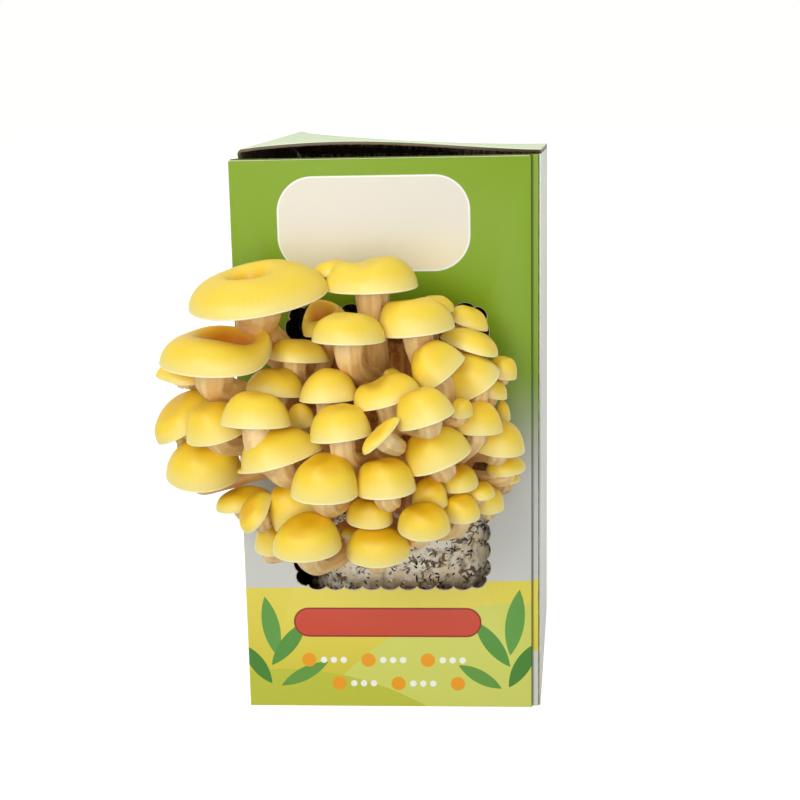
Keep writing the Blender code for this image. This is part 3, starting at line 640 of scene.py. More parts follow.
@dataclass(frozen=True)
class CapForm:
    """What sets one cap's form apart from a plain dome."""

    depth: float = 0.82
    dimple: float = 0.0
    dimple_size: float = 0.35
    dimple_across: float = 0.0
    dimple_back: float = 0.0
    lift: float = 0.0
    lift_from: float = 90.0
    point: float = 0.0
    point_from: float = 0.0
    tip_lift: float = 0.0
    lobe: float = 0.0
    fold: float = 0.0
    fold_at: float = 0.0
    wrinkle: float = 0.0
    pit_tone: float = 1.0
    slimness: float = 1.0


class Form(Enum):
    """The cluster's kinds of cap."""

    PLAIN = CapForm()
    DISC = CapForm(depth=0.90, dimple=0.55, dimple_size=0.30)
    FUNNEL = CapForm(dimple=0.75, dimple_size=0.50, lift=0.62, lift_from=80, point=0.10)
    RAISED_BACK = CapForm(dimple=0.50, dimple_size=0.45, lift=0.45, lift_from=120)
    CUP = CapForm(dimple=0.90, dimple_size=0.60, lift=0.60, lift_from=90)
    POINTED = CapForm(point=0.22)
    POINTED_LEFT = CapForm(point=0.20, point_from=180)
    SLIM = CapForm(depth=0.60, point=0.12)
    TWO_LOBES = CapForm(lobe=0.17)
    SADDLE = CapForm(fold=0.22, fold_at=-0.25)


FINER_FORMS = {
    Form.DISC: CapForm(depth=0.90, dimple=0.92, dimple_size=0.21, dimple_across=-0.08,
                       dimple_back=0.02, wrinkle=0.007, pit_tone=0.7),
    Form.FUNNEL: CapForm(dimple=1.0, dimple_size=0.50, dimple_across=0.30, dimple_back=0.32,
                         lift=0.56, lift_from=75, point=0.10, point_from=10, tip_lift=0.55),
    Form.SLIM: CapForm(depth=0.60, point=0.12, fold=0.25, slimness=0.72),
    Form.RAISED_BACK: CapForm(dimple=0.42, dimple_size=0.34, dimple_across=-0.22,
                              dimple_back=0.40, lift=0.38, lift_from=120),
}


@dataclass(frozen=True)
class CapRow:
    """One cap: where it is seen, its width and rise in millimetres, its turn, lean and form."""

    seen_x: float
    seen_y: float
    width: float
    rise: float
    turn: float
    lean: float
    clump: str
    form: Form = Form.PLAIN


@dataclass(frozen=True)
class BudRow(CapRow):
    """A small cap, or a lobe of the parent cap, with how far in millimetres it stands out of the front."""

    reach: float = 20.0
    parent: str = ""


@dataclass(frozen=True)
class ClumpRow:
    """Where one clump of stems leaves the block, in millimetres."""

    x: float
    z: float
    radius: float = 8.0


CLUMPS = {
    "middle": ClumpRow(-6, 108, 8.5),
    "top": ClumpRow(-3, 127, 7),
    "upper_left": ClumpRow(-25, 124),
    "left": ClumpRow(-29, 104),
    "upper_right": ClumpRow(18, 119),
    "right": ClumpRow(20, 99),
    "lower": ClumpRow(-10, 83),
}

CAPS = (
    CapRow(255.5, 289.5, 48.0, 18.5, -9, 20, "upper_left", Form.DISC),
    CapRow(214, 351.5, 38.0, 17.0, -2, 20, "upper_left", Form.FUNNEL),
    CapRow(184, 373.5, 17.5, 7.8, 5, 20, "left", Form.POINTED_LEFT),
    CapRow(182, 414.5, 25.7, 13.0, -35, 20, "left"),
    CapRow(213, 421.5, 21.5, 15.0, -15, 22, "left"),
    CapRow(256.5, 409, 25.0, 12.8, 0, 10, "middle"),
    CapRow(203, 463, 28.0, 19.5, -3, 33, "left"),
    CapRow(279.5, 382, 19.5, 10.0, 6, 13, "upper_left", Form.POINTED_LEFT),
    CapRow(295.5, 350, 20.0, 8.5, 3, 10, "upper_left", Form.POINTED),
    CapRow(328, 385, 21.2, 11.6, -3, 9, "middle"),
    CapRow(349, 328, 25.5, 10.8, 0, 8, "top"),
    CapRow(322, 317, 17.0, 11.0, -20, 20, "upper_left", Form.CUP),
    CapRow(371.5, 272, 33.0, 13.8, -3, 9, "top", Form.SADDLE),
    CapRow(415, 315, 27.3, 13.6, -6, 11, "upper_right", Form.RAISED_BACK),
    CapRow(438, 303, 12.5, 5.0, 15, 15, "upper_right"),
    CapRow(469, 317, 15.5, 7.2, 20, 15, "upper_right"),
    CapRow(474, 341, 20.0, 8.0, 17, 15, "upper_right", Form.POINTED_LEFT),
    CapRow(430, 364, 18.5, 14.0, -35, 20, "upper_right", Form.POINTED),
    CapRow(466, 376, 19.5, 16.0, -40, 26, "upper_right", Form.TWO_LOBES),
    CapRow(502.5, 367, 11.0, 8.5, 10, 18, "upper_right"),
    CapRow(491, 387, 13.5, 7.5, 15, 18, "upper_right"),
    CapRow(503, 411, 5.5, 7.5, 0, 26, "right"),
    CapRow(478, 418.5, 17.0, 11.5, 2, 18, "right"),
    CapRow(499, 437.5, 19.5, 13.2, 5, 22, "right"),
    CapRow(505, 465, 15.0, 8.0, -5, 26, "right"),
    CapRow(505, 478, 11.5, 4.5, 0, 22, "right"),
    CapRow(384, 390, 22.8, 11.0, -16, 16, "middle", Form.SADDLE),
    CapRow(422, 405.5, 20.2, 13.0, -20, 15, "middle"),
    CapRow(461, 408, 8.5, 6.8, 0, 26, "right"),
    CapRow(378.5, 434.5, 15.5, 6.5, -45, 30, "middle", Form.SLIM),
    CapRow(338.5, 422.5, 20.4, 12.4, -8, 11, "middle"),
    CapRow(301, 415, 10.0, 9.0, -15, 20, "middle", Form.POINTED_LEFT),
    CapRow(273, 446.5, 26.5, 13.8, -16, 11, "middle", Form.POINTED),
    CapRow(324.5, 479, 22.4, 17.0, 0, 27, "middle"),
    CapRow(385, 477.5, 20.5, 14.2, -6, 19, "middle"),
    CapRow(434.5, 448.5, 24.3, 14.8, -22, 21, "middle"),
    CapRow(459, 479, 13.5, 9.5, -5, 27, "right"),
    CapRow(429, 494, 12.5, 11.0, 0, 30, "lower"),
    CapRow(478.5, 490, 12.0, 7.0, 0, 28, "right"),
    CapRow(488.5, 500, 11.5, 10.0, 0, 32, "right"),
    CapRow(461, 508.5, 13.5, 10.5, 0, 30, "lower"),
    CapRow(423.5, 521.5, 18.0, 13.2, 0, 38, "lower"),
    CapRow(370, 512, 17.0, 11.5, 0, 30, "lower"),
    CapRow(378, 546, 23.5, 14.3, 0, 38, "lower"),
    CapRow(307, 538, 23.5, 16.3, -5, 35, "lower"),
    CapRow(270, 540, 11.0, 11.5, 0, 38, "lower"),
    CapRow(291, 504, 19.5, 15.5, -30, 22, "lower", Form.POINTED),
    CapRow(253, 513, 15.0, 8.5, -58, 28, "left", Form.POINTED),
    CapRow(243.5, 499, 20.5, 9.0, -12, 26, "left"),
)

# The numbers of the caps with a helmet's dome and of those with a bun's
HELMETS = (5, 6, 8, 9, 10, 16, 17, 18, 21, 23, 24, 28, 32, 33, 47)
BUNS = (11, 14, 29, 31, 34, 35, 36, 37, 38, 40, 41, 42, 43, 44, 45)

BUDS = (
    BudRow(331, 268, 13.0, 5.6, -10, 12, "top", reach=31, parent="cap_13"),
    BudRow(252, 469, 11.0, 3.0, -6, 20, "middle", reach=50, parent="cap_33"),
    BudRow(391, 415, 4.6, 3.0, 0, 24, "middle", reach=50),
    BudRow(392, 373, 6.0, 3.0, 5, 20, "middle", reach=44),
    BudRow(351, 533, 7.2, 4.2, 0, 26, "lower", reach=38),
    BudRow(182, 439, 5.0, 3.6, 0, 22, "left", reach=34),
)


def link(name: str, mesh: Mesh, material: Optional[Material] = None) -> Piece:
    """Return a new object of the scene, at the origin, and report it.

    Args:
        name: The object's name.
        mesh: Its mesh.
        material: Its finish, or None where the mesh has one.

    Returns:
        The object.
    """
    if material:
        mesh.materials.clear()
        mesh.materials.append(material)
    made = bpy.data.objects.new(name, mesh)
    bpy.context.scene.collection.objects.link(made)
    LOG.info("%s with %d faces", name, len(mesh.polygons))
    return made


def evaluated(holder: Piece) -> Mesh:
    """Return an object's mesh as its modifiers leave it, and remove the object."""
    bpy.context.scene.collection.objects.link(holder)
    graph = bpy.context.evaluated_depsgraph_get()
    mesh = bpy.data.meshes.new_from_object(holder.evaluated_get(graph))
    bpy.data.objects.remove(holder)
    return mesh


def points_of(mesh: Mesh) -> Array:
    """Return a mesh's points, one row for each."""
    places = np.zeros(len(mesh.vertices) * 3)
    mesh.vertices.foreach_get("co", places)
    return places.reshape(-1, 3)


def raise_by(mesh: Mesh, lift: Array) -> Array:
    """Move a mesh's points along their normals, and return where they are then."""
    normals = np.zeros(len(mesh.vertices) * 3)
    mesh.vertex_normals.foreach_get("vector", normals)
    places = points_of(mesh) + normals.reshape(-1, 3) * lift[:, None]
    mesh.vertices.foreach_set("co", places.astype(np.float32).ravel())
    mesh.update()
    return places


def lumps(places: Array, scale: float, shift: Triple = (0, 0, 0)) -> Array:
    """Return noise from about -1 to 1 at each place."""
    return np.array([noise.noise(Vector(place) * scale + Vector(shift)) for place in places])


def round_angles(count: int) -> Array:
    """Return evenly spaced angles round a circle."""
    return TURN * np.arange(count) / count


def mesh_of(name: str, points: Array, faces: Sequence[Sequence[int]]) -> Mesh:
    """Return a smooth closed mesh whose faces point outwards.

    Args:
        name: The mesh's name.
        points: One row of X, Y and Z for each point.
        faces: The corners of each face, all wound the same way.

    Returns:
        The mesh.
    """
    sizes = np.array([len(face) for face in faces])
    corners = np.concatenate([np.asarray(face) for face in faces])
    starts = np.concatenate(([0], np.cumsum(sizes)[:-1]))
    first = points[corners[starts]]
    second = points[corners[starts + 1]]
    third = points[corners[starts + 2]]
    last = points[corners[starts + sizes - 1]]
    volume = np.einsum("ij,ij->i", first, np.cross(second, third)).sum()
    volume += np.einsum("ij,ij->i", first, np.cross(third, last)).sum()
    if volume < 0:
        corners = np.concatenate([np.asarray(face)[::-1] for face in faces])
    mesh = bpy.data.meshes.new(name)
    mesh.vertices.add(len(points))
    mesh.vertices.foreach_set("co", points.astype(np.float32).ravel())
    mesh.loops.add(len(corners))
    mesh.loops.foreach_set("vertex_index", corners.astype(np.int32))
    mesh.polygons.add(len(sizes))
    mesh.polygons.foreach_set("loop_start", starts.astype(np.int32))
    mesh.update(calc_edges=True)
    mesh.shade_smooth()
    return mesh


def ring_faces(columns: int, rings: int) -> Faces:
    """Return a closed skin's faces: rings of points between two poles.

    Args:
        columns: How many points a ring has.
        rings: How many rings there are. The poles are the first and last points of all.

    Returns:
        The faces, all wound the same way.
    """
    faces = []
    last = 1 + columns * rings
    for column in range(columns):
        after = (column + 1) % columns
        faces.append((0, 1 + after, 1 + column))
        for ring in range(rings - 1):
            low = 1 + ring * columns
            high = low + columns
            faces.append((low + column, low + after, high + after, high + column))
        faces.append((last - columns + column, last - columns + after, last))
    return faces


def joined(parts: Sequence[tuple[Array, list]]) -> tuple[Array, Faces]:
    """Return the points and the faces of several parts as one."""
    faces: Faces = []
    first = 0
    for points, corners in parts:
        faces += [tuple(first + corner for corner in face) for face in corners]
        first += len(points)
    return np.concatenate([points for points, _ in parts]), faces


def faces_of(mesh: Mesh) -> Faces:
    """Return the corners of each of a mesh's faces."""
    return [tuple(face.vertices) for face in mesh.polygons]


def tree_of(mesh: Mesh) -> BVHTree:
    """Return a tree that finds a mesh's nearest face."""
    return BVHTree.FromPolygons([vertex.co for vertex in mesh.vertices], faces_of(mesh))


def give(mesh: Mesh, name: str, values: Array) -> None:
    """Give a mesh an attribute with a number or a vector for each point."""
    kind, key = ("FLOAT_VECTOR", "vector") if values.ndim == 2 else ("FLOAT", "value")
    made = mesh.attributes.new(name, kind, "POINT")
    made.data.foreach_set(key, values.astype(np.float32).ravel())


class CapShape:
    """One cap's axes, sizes and surface, placed in its node's box."""

    solid_profile = (2.4, 1.7)
    finer_profile = (2.7, 1.85)
    helmet_profile = (3.0, 1.36)
    bun_profile = (3.1, 1.9)
    unevenness = 0.042
    bumps = ((1.0, 3.4, 1.9, 3.0, 2.7), (0.6, 6.1, -2.2, 5.3, 1.3))
    skew = 0.16
    skew_turns = ((2.3, 0.7), (1.7, 2.1))
    wrinkles = 58
    wrinkle_bends, wrinkle_bend = 5, 2
    wrinkle_fades, wrinkle_fade = 3, 1.0
    wrinkled = (0.62, 0.93)
    sample_columns = 60
    sample_rows = 30
    hollow = 0.42
    lip = 0.05
    flattest = 0.35
    fold_spread = 0.35
    rim_waves = ((0.03, 2, 1.7), (0.02, 3, 2.9))
    lobe_waves = ((1.0, 2, 0.9), (-0.5, 3, 0.9))
    tip_sharpness = 5
    tip_roll = 6
    seat_clearance = 0.5 * MM
    seat_samples = 12
    least_stem = 0.9 * MM
    stem_share = 0.24
    top_rows = 26
    lip_rings = ((1.008, 0.35), (1.0, 0.75), (0.978, 1.0))
    lip_mark = 0.35
    least_lip = 0.12 * MM
    lip_share = 0.008
    under_shares = (0.95, 0.90, 0.83, 0.74, 0.63, 0.52, 0.40, 0.28, 0.16)
    least_gills = 26
    gills_per_width = 1.3
    gill_profile = (1.0, 0.35, 0.0, 0.35)
    least_gill = 0.5 * MM
    gill_share = 0.05
    gill_room = 0.9
    under_lip = 0.2
    short_gills_end = 0.6
    short_gill_depth = 0.25
    # Painted light and shade: near_share makes each cap's front paler and its back deeper.
    near_share = 0.25
    # The pale values set painted shade and light: caps seen lower get deeper crowns than the upper, lit
    # ones.
    palest, pale, pale_from, pale_over = 0.12, 0.2, 300, 200
    pit_gain, pit_power, rolled_gain = 2.0, 1.5, 0.3
    rolled_reach, rolled_from, rolled_full = 1.6, 0.25, 0.75
    spoke_shift = 3.1

    def __init__(self, row: CapRow, index: int) -> None:
        """Work out a cap's axes and half sizes, and its place.

        Args:
            row: The cap's row of the table.
            index: Its number, from 0.
        """
        self.row = row
        self.form: CapForm = row.form.value
        self.index = index
        self.name = f"cap_{index + 1:02d}"
        self.lobes: list[CapShape] = []
        right, _, _ = EYE.axes()
        view = -EYE.sight(row.seen_x, row.seen_y)
        side = (right - right.dot(view) * view).normalized()
        up = view.cross(side)
        turn = math.radians(row.turn)
        lean = math.radians(row.lean)
        turned_up = math.cos(turn) * up + math.sin(turn) * side
        self.across = math.cos(turn) * side - math.sin(turn) * up
        self.axis = math.cos(lean) * turned_up + math.sin(lean) * view
        self.near = math.cos(lean) * view - math.sin(lean) * turned_up
        rise = row.rise * MM
        self.half_width = row.width * MM / 2
        self.half_depth = min(self.form.depth * self.half_width,
                              self.flattest * rise / math.sin(lean))
        rest = rise - 2 * self.half_depth * math.sin(lean)
        self.dome = math.sqrt(rise * rest) / math.cos(lean)
        self.drop = turned_up * rest / 2
        self.profile = self.solid_profile
        self.centre = self.place()
        self.profile = self.finer_profile
        if index + 1 in HELMETS:
            self.profile = self.helmet_profile
        elif index + 1 in BUNS:
            self.profile = self.bun_profile
        self.form = FINER_FORMS.get(row.form, self.form)
        self.half_depth *= self.form.slimness
        self.dome *= self.form.slimness

    def place(self) -> Vector:
        """Return the middle of the cap's rim, which puts its surface in its node's box."""
        low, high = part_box(self.name)
        sample = self.surface(*np.meshgrid(np.linspace(0, TURN, self.sample_columns),
                                           np.linspace(0, 1, self.sample_rows)))
        middle = (sample.min(axis=(0, 1)) + sample.max(axis=(0, 1))) / 2
        return (low + high) / 2 - Vector(middle)

    def waves(self, rows: Sequence[tuple[float, int, float]], angle: Array, shift: float) -> Array:
        """Return a sum of cosine waves round the cap."""
        return sum(size * np.cos(count * angle + offset * shift) for size, count, offset in rows)

    def outline(self, angle: Array) -> Array:
        """Return the rim's radius factor at an angle."""
        towards_tip = np.maximum(0.0, np.cos(angle - math.radians(self.form.point_from)))
        tip = self.form.point * towards_tip ** self.tip_sharpness
        lobes = self.form.lobe * self.waves(self.lobe_waves, angle, 1)
        return 1 + self.waves(self.rim_waves, angle, self.index) + tip + lobes

    def rolled_back(self, share: Array, angle: Array) -> Array:
        """Return how far the far part of a funnel's rim is rolled up."""
        back = np.maximum(0.0, np.cos(angle - math.radians(self.form.lift_from))) ** 2
        tip = np.maximum(0.0, np.cos(angle - math.radians(self.form.point_from))) ** self.tip_roll
        rolled = self.form.lift * share ** 2 * back + self.form.tip_lift * share ** 4 * tip
        return self.dome * rolled

    def dimple(self, share: Array, angle: Array) -> Array:
        """Return the dimple's depth as a share of the dome."""
        away = np.hypot(share * np.cos(angle) - self.form.dimple_across,
                        share * np.sin(angle) - self.form.dimple_back)
        return self.form.dimple * np.exp(-(away / self.form.dimple_size) ** 2) * (1 - share ** 6)

    def crown(self, share: Array, angle: Array) -> Array:
        """Return the dome's height as a share of its own, uneven and off its middle."""
        power, brow = self.profile
        if self.profile == self.solid_profile:
            return np.maximum(0.0, 1 - share ** power) ** (1 / brow)
        x, y = share * np.cos(angle), share * np.sin(angle)
        aside, behind = (self.skew * math.sin(rate * self.index + start) * (1 - share)
                         for rate, start in self.skew_turns)
        moved = np.minimum(np.hypot(x - aside, y - behind), 1.0)
        crown = np.maximum(0.0, 1 - moved ** power) ** (1 / brow)
        waves = sum(size * np.sin(rate_x * x + own_x * self.index) * np.sin(rate_y * y + own_y * self.index)
                    for size, rate_x, own_x, rate_y, own_y in self.bumps)
        start, end = self.wrinkled
        wrinkle = self.form.wrinkle * smooth(share, start, end) * (1 - smooth(share, end, 1.0))
        folds = np.cos(self.wrinkles * angle + self.wrinkle_bend * np.sin(self.wrinkle_bends * angle))
        folds = folds * (0.5 + 0.5 * np.sin(self.wrinkle_fades * angle + self.wrinkle_fade))
        return crown + self.unevenness * waves * (1 - share ** 4) + wrinkle * folds

    def top(self, share: Array, angle: Array) -> Array:
        """Return the upper surface's height."""
        crown = self.crown(share, angle)
        off_fold = (share * np.cos(angle) - self.form.fold_at) / self.fold_spread
        fold = self.form.fold * crown * np.exp(-off_fold ** 2)
        return self.dome * (crown - self.dimple(share, angle) - fold) + self.rolled_back(share, angle)

    def under(self, share: Array, angle: Array) -> Array:
        """Return the underside's height."""
        hollow = self.hollow * (1 - share) * (1 - self.form.dimple)
        return self.dome * (hollow - self.lip) + self.rolled_back(share, angle)

    def spread(self, share: Array, angle: Array, height: Array) -> Array:
        """Return points from shares of the radius, angles and heights."""
        factor = self.outline(angle) * share
        return (np.multiply.outer(self.half_width * factor * np.cos(angle), np.array(self.across))
                - np.multiply.outer(self.half_depth * factor * np.sin(angle), np.array(self.near))
                + np.multiply.outer(height, np.array(self.axis)))

    def surface(self, angle: Array, share: Array) -> Array:
        """Return points of the upper surface and the rim, about the rim's middle."""
        return self.spread(share, angle, self.top(share, angle))

    def stem_radius(self) -> float:
        """Return the stem's radius under the cap."""
        return self.least_stem + self.stem_share * self.half_width

    def seat(self, radius: float, setback: float) -> float:
        """Return the height under the cap at which a stem's top of this radius clears it."""
        reach = setback + radius / self.half_depth
        angle = np.linspace(0, TURN, self.seat_samples, endpoint=False)
        share = np.minimum(reach / self.outline(angle), 1.0)
        return float(self.under(share, angle).min()) - self.seat_clearance

    def build(self, skin: Material) -> Piece:
        """Return the cap, in one piece with its lobes.

        Args:
            skin: The caps' finish.

        Returns:
            The cap's object.
        """
        grown = [shape.grown() for shape in [self, *self.lobes]]
        mesh = mesh_of(self.name + "_skin", *joined([(points, faces) for points, faces, _ in grown]))
        for name in grown[0][2]:
            give(mesh, name, np.concatenate([marks[name] for _, _, marks in grown]))
        made = link(self.name + "_skin", mesh, skin)
        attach(made, "kit")
        return made

    def grown(self) -> tuple[Array, Faces, dict[str, Array]]:
        """Return the cap's skin, with a rounded lip and ridged gills beneath.

        Returns:
            Its points, its faces and its attributes by name.
        """
        gills = int(self.least_gills + self.gills_per_width * self.row.width)
        columns = gills * len(self.gill_profile)
        angle = round_angles(columns)
        thick = self.least_lip + self.lip_share * self.half_width * 2
        rings, marks = [], []
        for number in range(1, self.top_rows + 1):
            down = math.sin(math.pi / 2 * number / self.top_rows)
            share = np.full(columns, down ** (2 / self.profile[0]))
            rings.append(self.spread(share, angle, self.top(share, angle)))
            marks.append((share, 0.0, 0.0))
        rim = self.rolled_back(np.ones(columns), angle)
        for share, drop in self.lip_rings:
            rings.append(self.spread(np.full(columns, share), angle, rim - drop * thick))
            marks.append((np.ones(columns), self.lip_mark, 0.0))
        ridge = np.tile(self.gill_profile, gills)
        long_gills = np.arange(columns) // len(self.gill_profile) % 2 == 0
        for share in self.under_shares:
            full = np.full(columns, share)
            room = self.dome * self.hollow * (1 - self.form.dimple) * (1 - share)
            depth = min(self.gill_room * room, self.least_gill + self.gill_share * self.half_width) * ridge
            short = 1.0 if share > self.short_gills_end else self.short_gill_depth
            level = self.under(full, angle) - depth * np.where(long_gills, 1.0, short)
            rings.append(self.spread(full, angle, level - self.under_lip * thick))
            marks.append((full, 1.0, ridge))
        top = np.array(self.axis) * float(self.top(np.zeros(1), np.zeros(1))[0])
        foot = np.array(self.axis) * float(self.under(np.zeros(1), np.zeros(1))[0])
        points = np.concatenate([[top], *rings, [foot]]) + np.array(self.centre)
        return points, ring_faces(columns, len(rings)), self.attributes(angle, marks)

    def attributes(self, angle: Array, marks: list) -> dict[str, Array]:
        """Return the attributes that the cap's skin reads.

        Args:
            angle: The angle of each column of points.
            marks: For each ring its shares, how far under it is and its gills' ridges.

        Returns:
            A value or a vector for each point, by name.
        """
        full = np.ones(len(angle))
        share, under, gill = (np.concatenate([[0.0], *[row[part] * full for row in marks], [last]])
                              for part, last in enumerate((0.0, 1.0, 0.5)))
        turn = np.concatenate([[0.0], np.tile(angle, len(marks)), [0.0]])
        on_top = 1.0 - smooth(under, 0.0, 0.3)
        power, brow = self.profile
        fallen = 1 - np.maximum(0.0, 1 - share ** power) ** (1 / brow)
        # Painted light and shade: paler on each cap's front side, deeper on its back side.
        rimward = fallen * (1 - self.near_share + self.near_share * -np.sin(turn) * share)
        # Painted shade: the lower a cap is seen, the deeper its crown, for the shade of the caps above;
        # upper caps stay pale.
        deep = self.pale + (1 - self.pale) * (self.row.seen_y - self.pale_from) / self.pale_over
        # Painted shade: the dimple and the inside of a funnel's rolled-up back take the dark pit colour.
        back = np.maximum(0.0, np.cos(turn - math.radians(self.form.lift_from))) ** 2
        rolled = smooth(share, self.rolled_from, self.rolled_full) * back
        rolled = min(1.0, self.rolled_reach * self.form.lift) * rolled
        pit = self.pit_gain * self.dimple(share, turn) ** self.pit_power + self.rolled_gain * rolled
        spin = np.stack([np.cos(turn), np.sin(turn), share], axis=1)
        return {
            "rimward": rimward,
            "deep": np.full(len(share), np.clip(deep, self.palest, 1.0)),
            "under": smooth(under, 0.4, 1.0),
            "gill": gill,
            "edge": np.clip(smooth(fallen, 0.97, 1.0) + (under > 0), 0, 1) * (under < 1),
            "pit": np.clip(pit, 0.0, 1.0) * on_top * self.form.pit_tone,
            "spoke": spin + np.array([self.index * self.spoke_shift, 0.0, 0.0]),
        }


class BudShape(CapShape):
    """A small cap or lobe that has no solid of its own."""

    def place(self) -> Vector:
        """Return the middle of the rim, on its sight line at its own reach."""
        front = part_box("carton_cover")[0].y
        sight = EYE.sight(self.row.seen_x, self.row.seen_y)
        travel = (front - self.row.reach * MM - EYE.place[1]) / sight.y
        return Vector(EYE.place) + travel * sight - self.drop


@dataclass
class Clump:
    """One clump of stems: a trunk out of the block, forking to a stem for each cap."""

    name: str
    row: ClumpRow
    members: list[CapShape]
    buds: list[CapShape]
    root_depth: float = 3 * MM
    trunk_share: float = 0.22
    fork_clearance: float = 13 * MM
    trunk_taper: float = 0.8
    foot_first: float = 0.35
    foot_range: float = 0.55
    foot_spread: float = 0.38
    pull: float = 0.4
    backward: float = 1.6
    flare: float = 1.35
    foot_share: float = 0.88
    half_window: float = 36 * MM
    trunk_steps: int = 8
    trunk_rise: float = 0.1
    deep_enough: float = 0.7
    score_steps: int = 9
    waver: float = 0.04
    waver_rate: float = 5
    flare_power: float = 2.6
    sunk: float = 0.55
    sunk_flare: float = 1.16
    bud_choice: tuple[float, ...] = (0.12, 0.22, 0.0, 0.0)
    setbacks: tuple[float, ...] = (0.12, 0.35, -0.15)
    droops: tuple[float, ...] = (0.34, 0.22, 0.46, 0.10)
    swings: tuple[float, ...] = (0.0, 4 * MM, -4 * MM, 9 * MM, -9 * MM, 14 * MM, -14 * MM)
    raises: tuple[float, ...] = (0.0, -4 * MM, 4 * MM, -8 * MM, 8 * MM, -13 * MM, 13 * MM)
    sides: int = 20
    steps: int = 26
    voxel: float = 0.75 * MM
    softness: float = 0.5
    soft_steps: int = 5
    ridges: tuple[tuple[float, ...], ...] = ((0.5, 7, 0.10), (0.5, 13, -0.07), (0.3, 22, 0.05))
    ridge: float = 0.17 * MM
    ridge_starts: Pair = (0.02, 0.2)
    ridge_gains: Pair = (0.55, 0.95)
    ridge_gain: float = 1.2
    lump: float = 0.30 * MM
    lump_scale: float = 140
    root: Vector = field(init=False)
    fork: Vector = field(init=False)

    def __post_init__(self) -> None:
        """Work out where the trunk starts and forks."""
        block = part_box("substrate_block")[0].y
        cover_low, cover_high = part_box("carton_cover")
        middle_x = (cover_low.x + cover_high.x) / 2
        centres = sum((shape.centre for shape in self.members), Vector()) / len(self.members)
        self.root = Vector((self.row.x * MM, block + self.root_depth, self.row.z * MM))
        aside = self.root.lerp(centres, self.trunk_share)
        room = self.half_window - self.row.radius * MM
        offset = max(-room, min(room, aside.x - middle_x))
        self.fork = Vector((middle_x + offset, cover_low.y - self.fork_clearance, aside.z))

    def foot(self, place: int) -> Vector:
        """Return where a stem starts inside the trunk."""
        share = self.foot_first + self.foot_range * (place + 0.5) / len(self.members)
        angle = place * GOLDEN_ANGLE
        spread = self.row.radius * MM * self.foot_spread
        aside = Vector((math.cos(angle), 0, math.sin(angle))) * spread
        return self.root.lerp(self.fork, share) + aside

    def route(self, shape: CapShape, start: Vector, choice: tuple[float, ...], steps: int) -> list[Vector]:
        """Return a stem's line from the trunk to its cap.

        Args:
            shape: The cap.
            start: Where the stem starts inside the trunk.
            choice: The setback under the cap, the droop, the swing and the raise.
            steps: How many steps the curved part has.

        Returns:
            The points, the last of them the seat under the cap.
        """
        setback, droop, swing, raise_by = choice
        height = shape.seat(shape.stem_radius() * self.flare, setback)
        seat = shape.centre + shape.axis * height - shape.near * setback * shape.half_depth
        neck = seat - shape.axis * shape.stem_radius()
        down = -(shape.axis + shape.near * setback * self.backward).normalized()
        length = (neck - start).length
        aside = shape.across * swing + Vector((0, 0, raise_by))
        pull = start + (self.fork - self.root).normalized() * self.pull * length + aside
        bend = neck + down * droop * length + aside
        points = []
        for step in range(steps + 1):
            share = step / steps
            rest = 1 - share
            points.append(rest ** 3 * start + 3 * rest ** 2 * share * pull
                          + 3 * rest * share ** 2 * bend + share ** 3 * neck)
        return points + [seat]

    def best_route(self, shape: CapShape, solid: BVHTree) -> list[Vector]:
        """Return the line that runs deepest inside the clump's own solid."""
        enough = self.deep_enough * shape.stem_radius()
        start = self.foot(self.members.index(shape))

        def depth(point: Vector) -> float:
            """Return how deep a point lies inside the solid, up to enough, negative outside it."""
            nearest, normal, _, distance = solid.find_nearest(point)
            return min(distance, enough) if (point - nearest).dot(normal) < 0 else -distance

        def score(choice: tuple[float, ...]) -> float:
            """Return how well a choice's line keeps to the solid."""
            line = self.route(shape, start, choice, self.score_steps)
            return sum(depth(point) for point in line[2:])

        choices = product(self.setbacks, self.droops, self.swings, self.raises)
        return self.route(shape, start, max(choices, key=score), self.steps)

    def tube(self, line: Sequence[Vector], radii: Sequence[float]) -> tuple[Array, Array]:
        """Return a tube's points, ring by ring between two poles, and their marks.

        Args:
            line: The tube's middle line.
            radii: Its radius at each point of the line.

        Returns:
            The points, and for each the cosine and sine round the tube, the length along it
            in millimetres and the share of its length.
        """
        along = np.array([tuple(point) for point in line])
        heading = np.gradient(along, axis=0)
        heading /= np.linalg.norm(heading, axis=1, keepdims=True)
        travelled = np.concatenate([[0], np.cumsum(np.linalg.norm(np.diff(along, axis=0), axis=1))])
        side = np.array([1.0, 0.0, 0.0])
        points, marks = [along[0]], [(0.0, 0.0, 0.0, 0.0)]
        for number, direction in enumerate(heading):
            side = side - side.dot(direction) * direction
            side /= np.linalg.norm(side)
            other = np.cross(direction, side)
            share = travelled[number] / travelled[-1]
            for turn in round_angles(self.sides):
                spoke = math.cos(turn) * side + math.sin(turn) * other
                points.append(along[number] + radii[number] * spoke)
                marks.append((math.cos(turn), math.sin(turn), travelled[number] / MM, share))
        points.append(along[-1])
        marks.append((0.0, 0.0, travelled[-1] / MM, 1.0))
        return np.array(points), np.array(marks)

    def tubes(self, solid: BVHTree) -> list[tuple[Array, Array]]:
        """Return the trunk and every stem as tubes."""
        shares = [step / self.trunk_steps for step in range(self.trunk_steps + 1)]
        trunk = [self.root.lerp(self.fork, share) for share in shares]
        swell = [self.row.radius * MM * (1 - (1 - self.trunk_taper) * share) for share in shares]
        made = [self.tube(trunk, swell)]
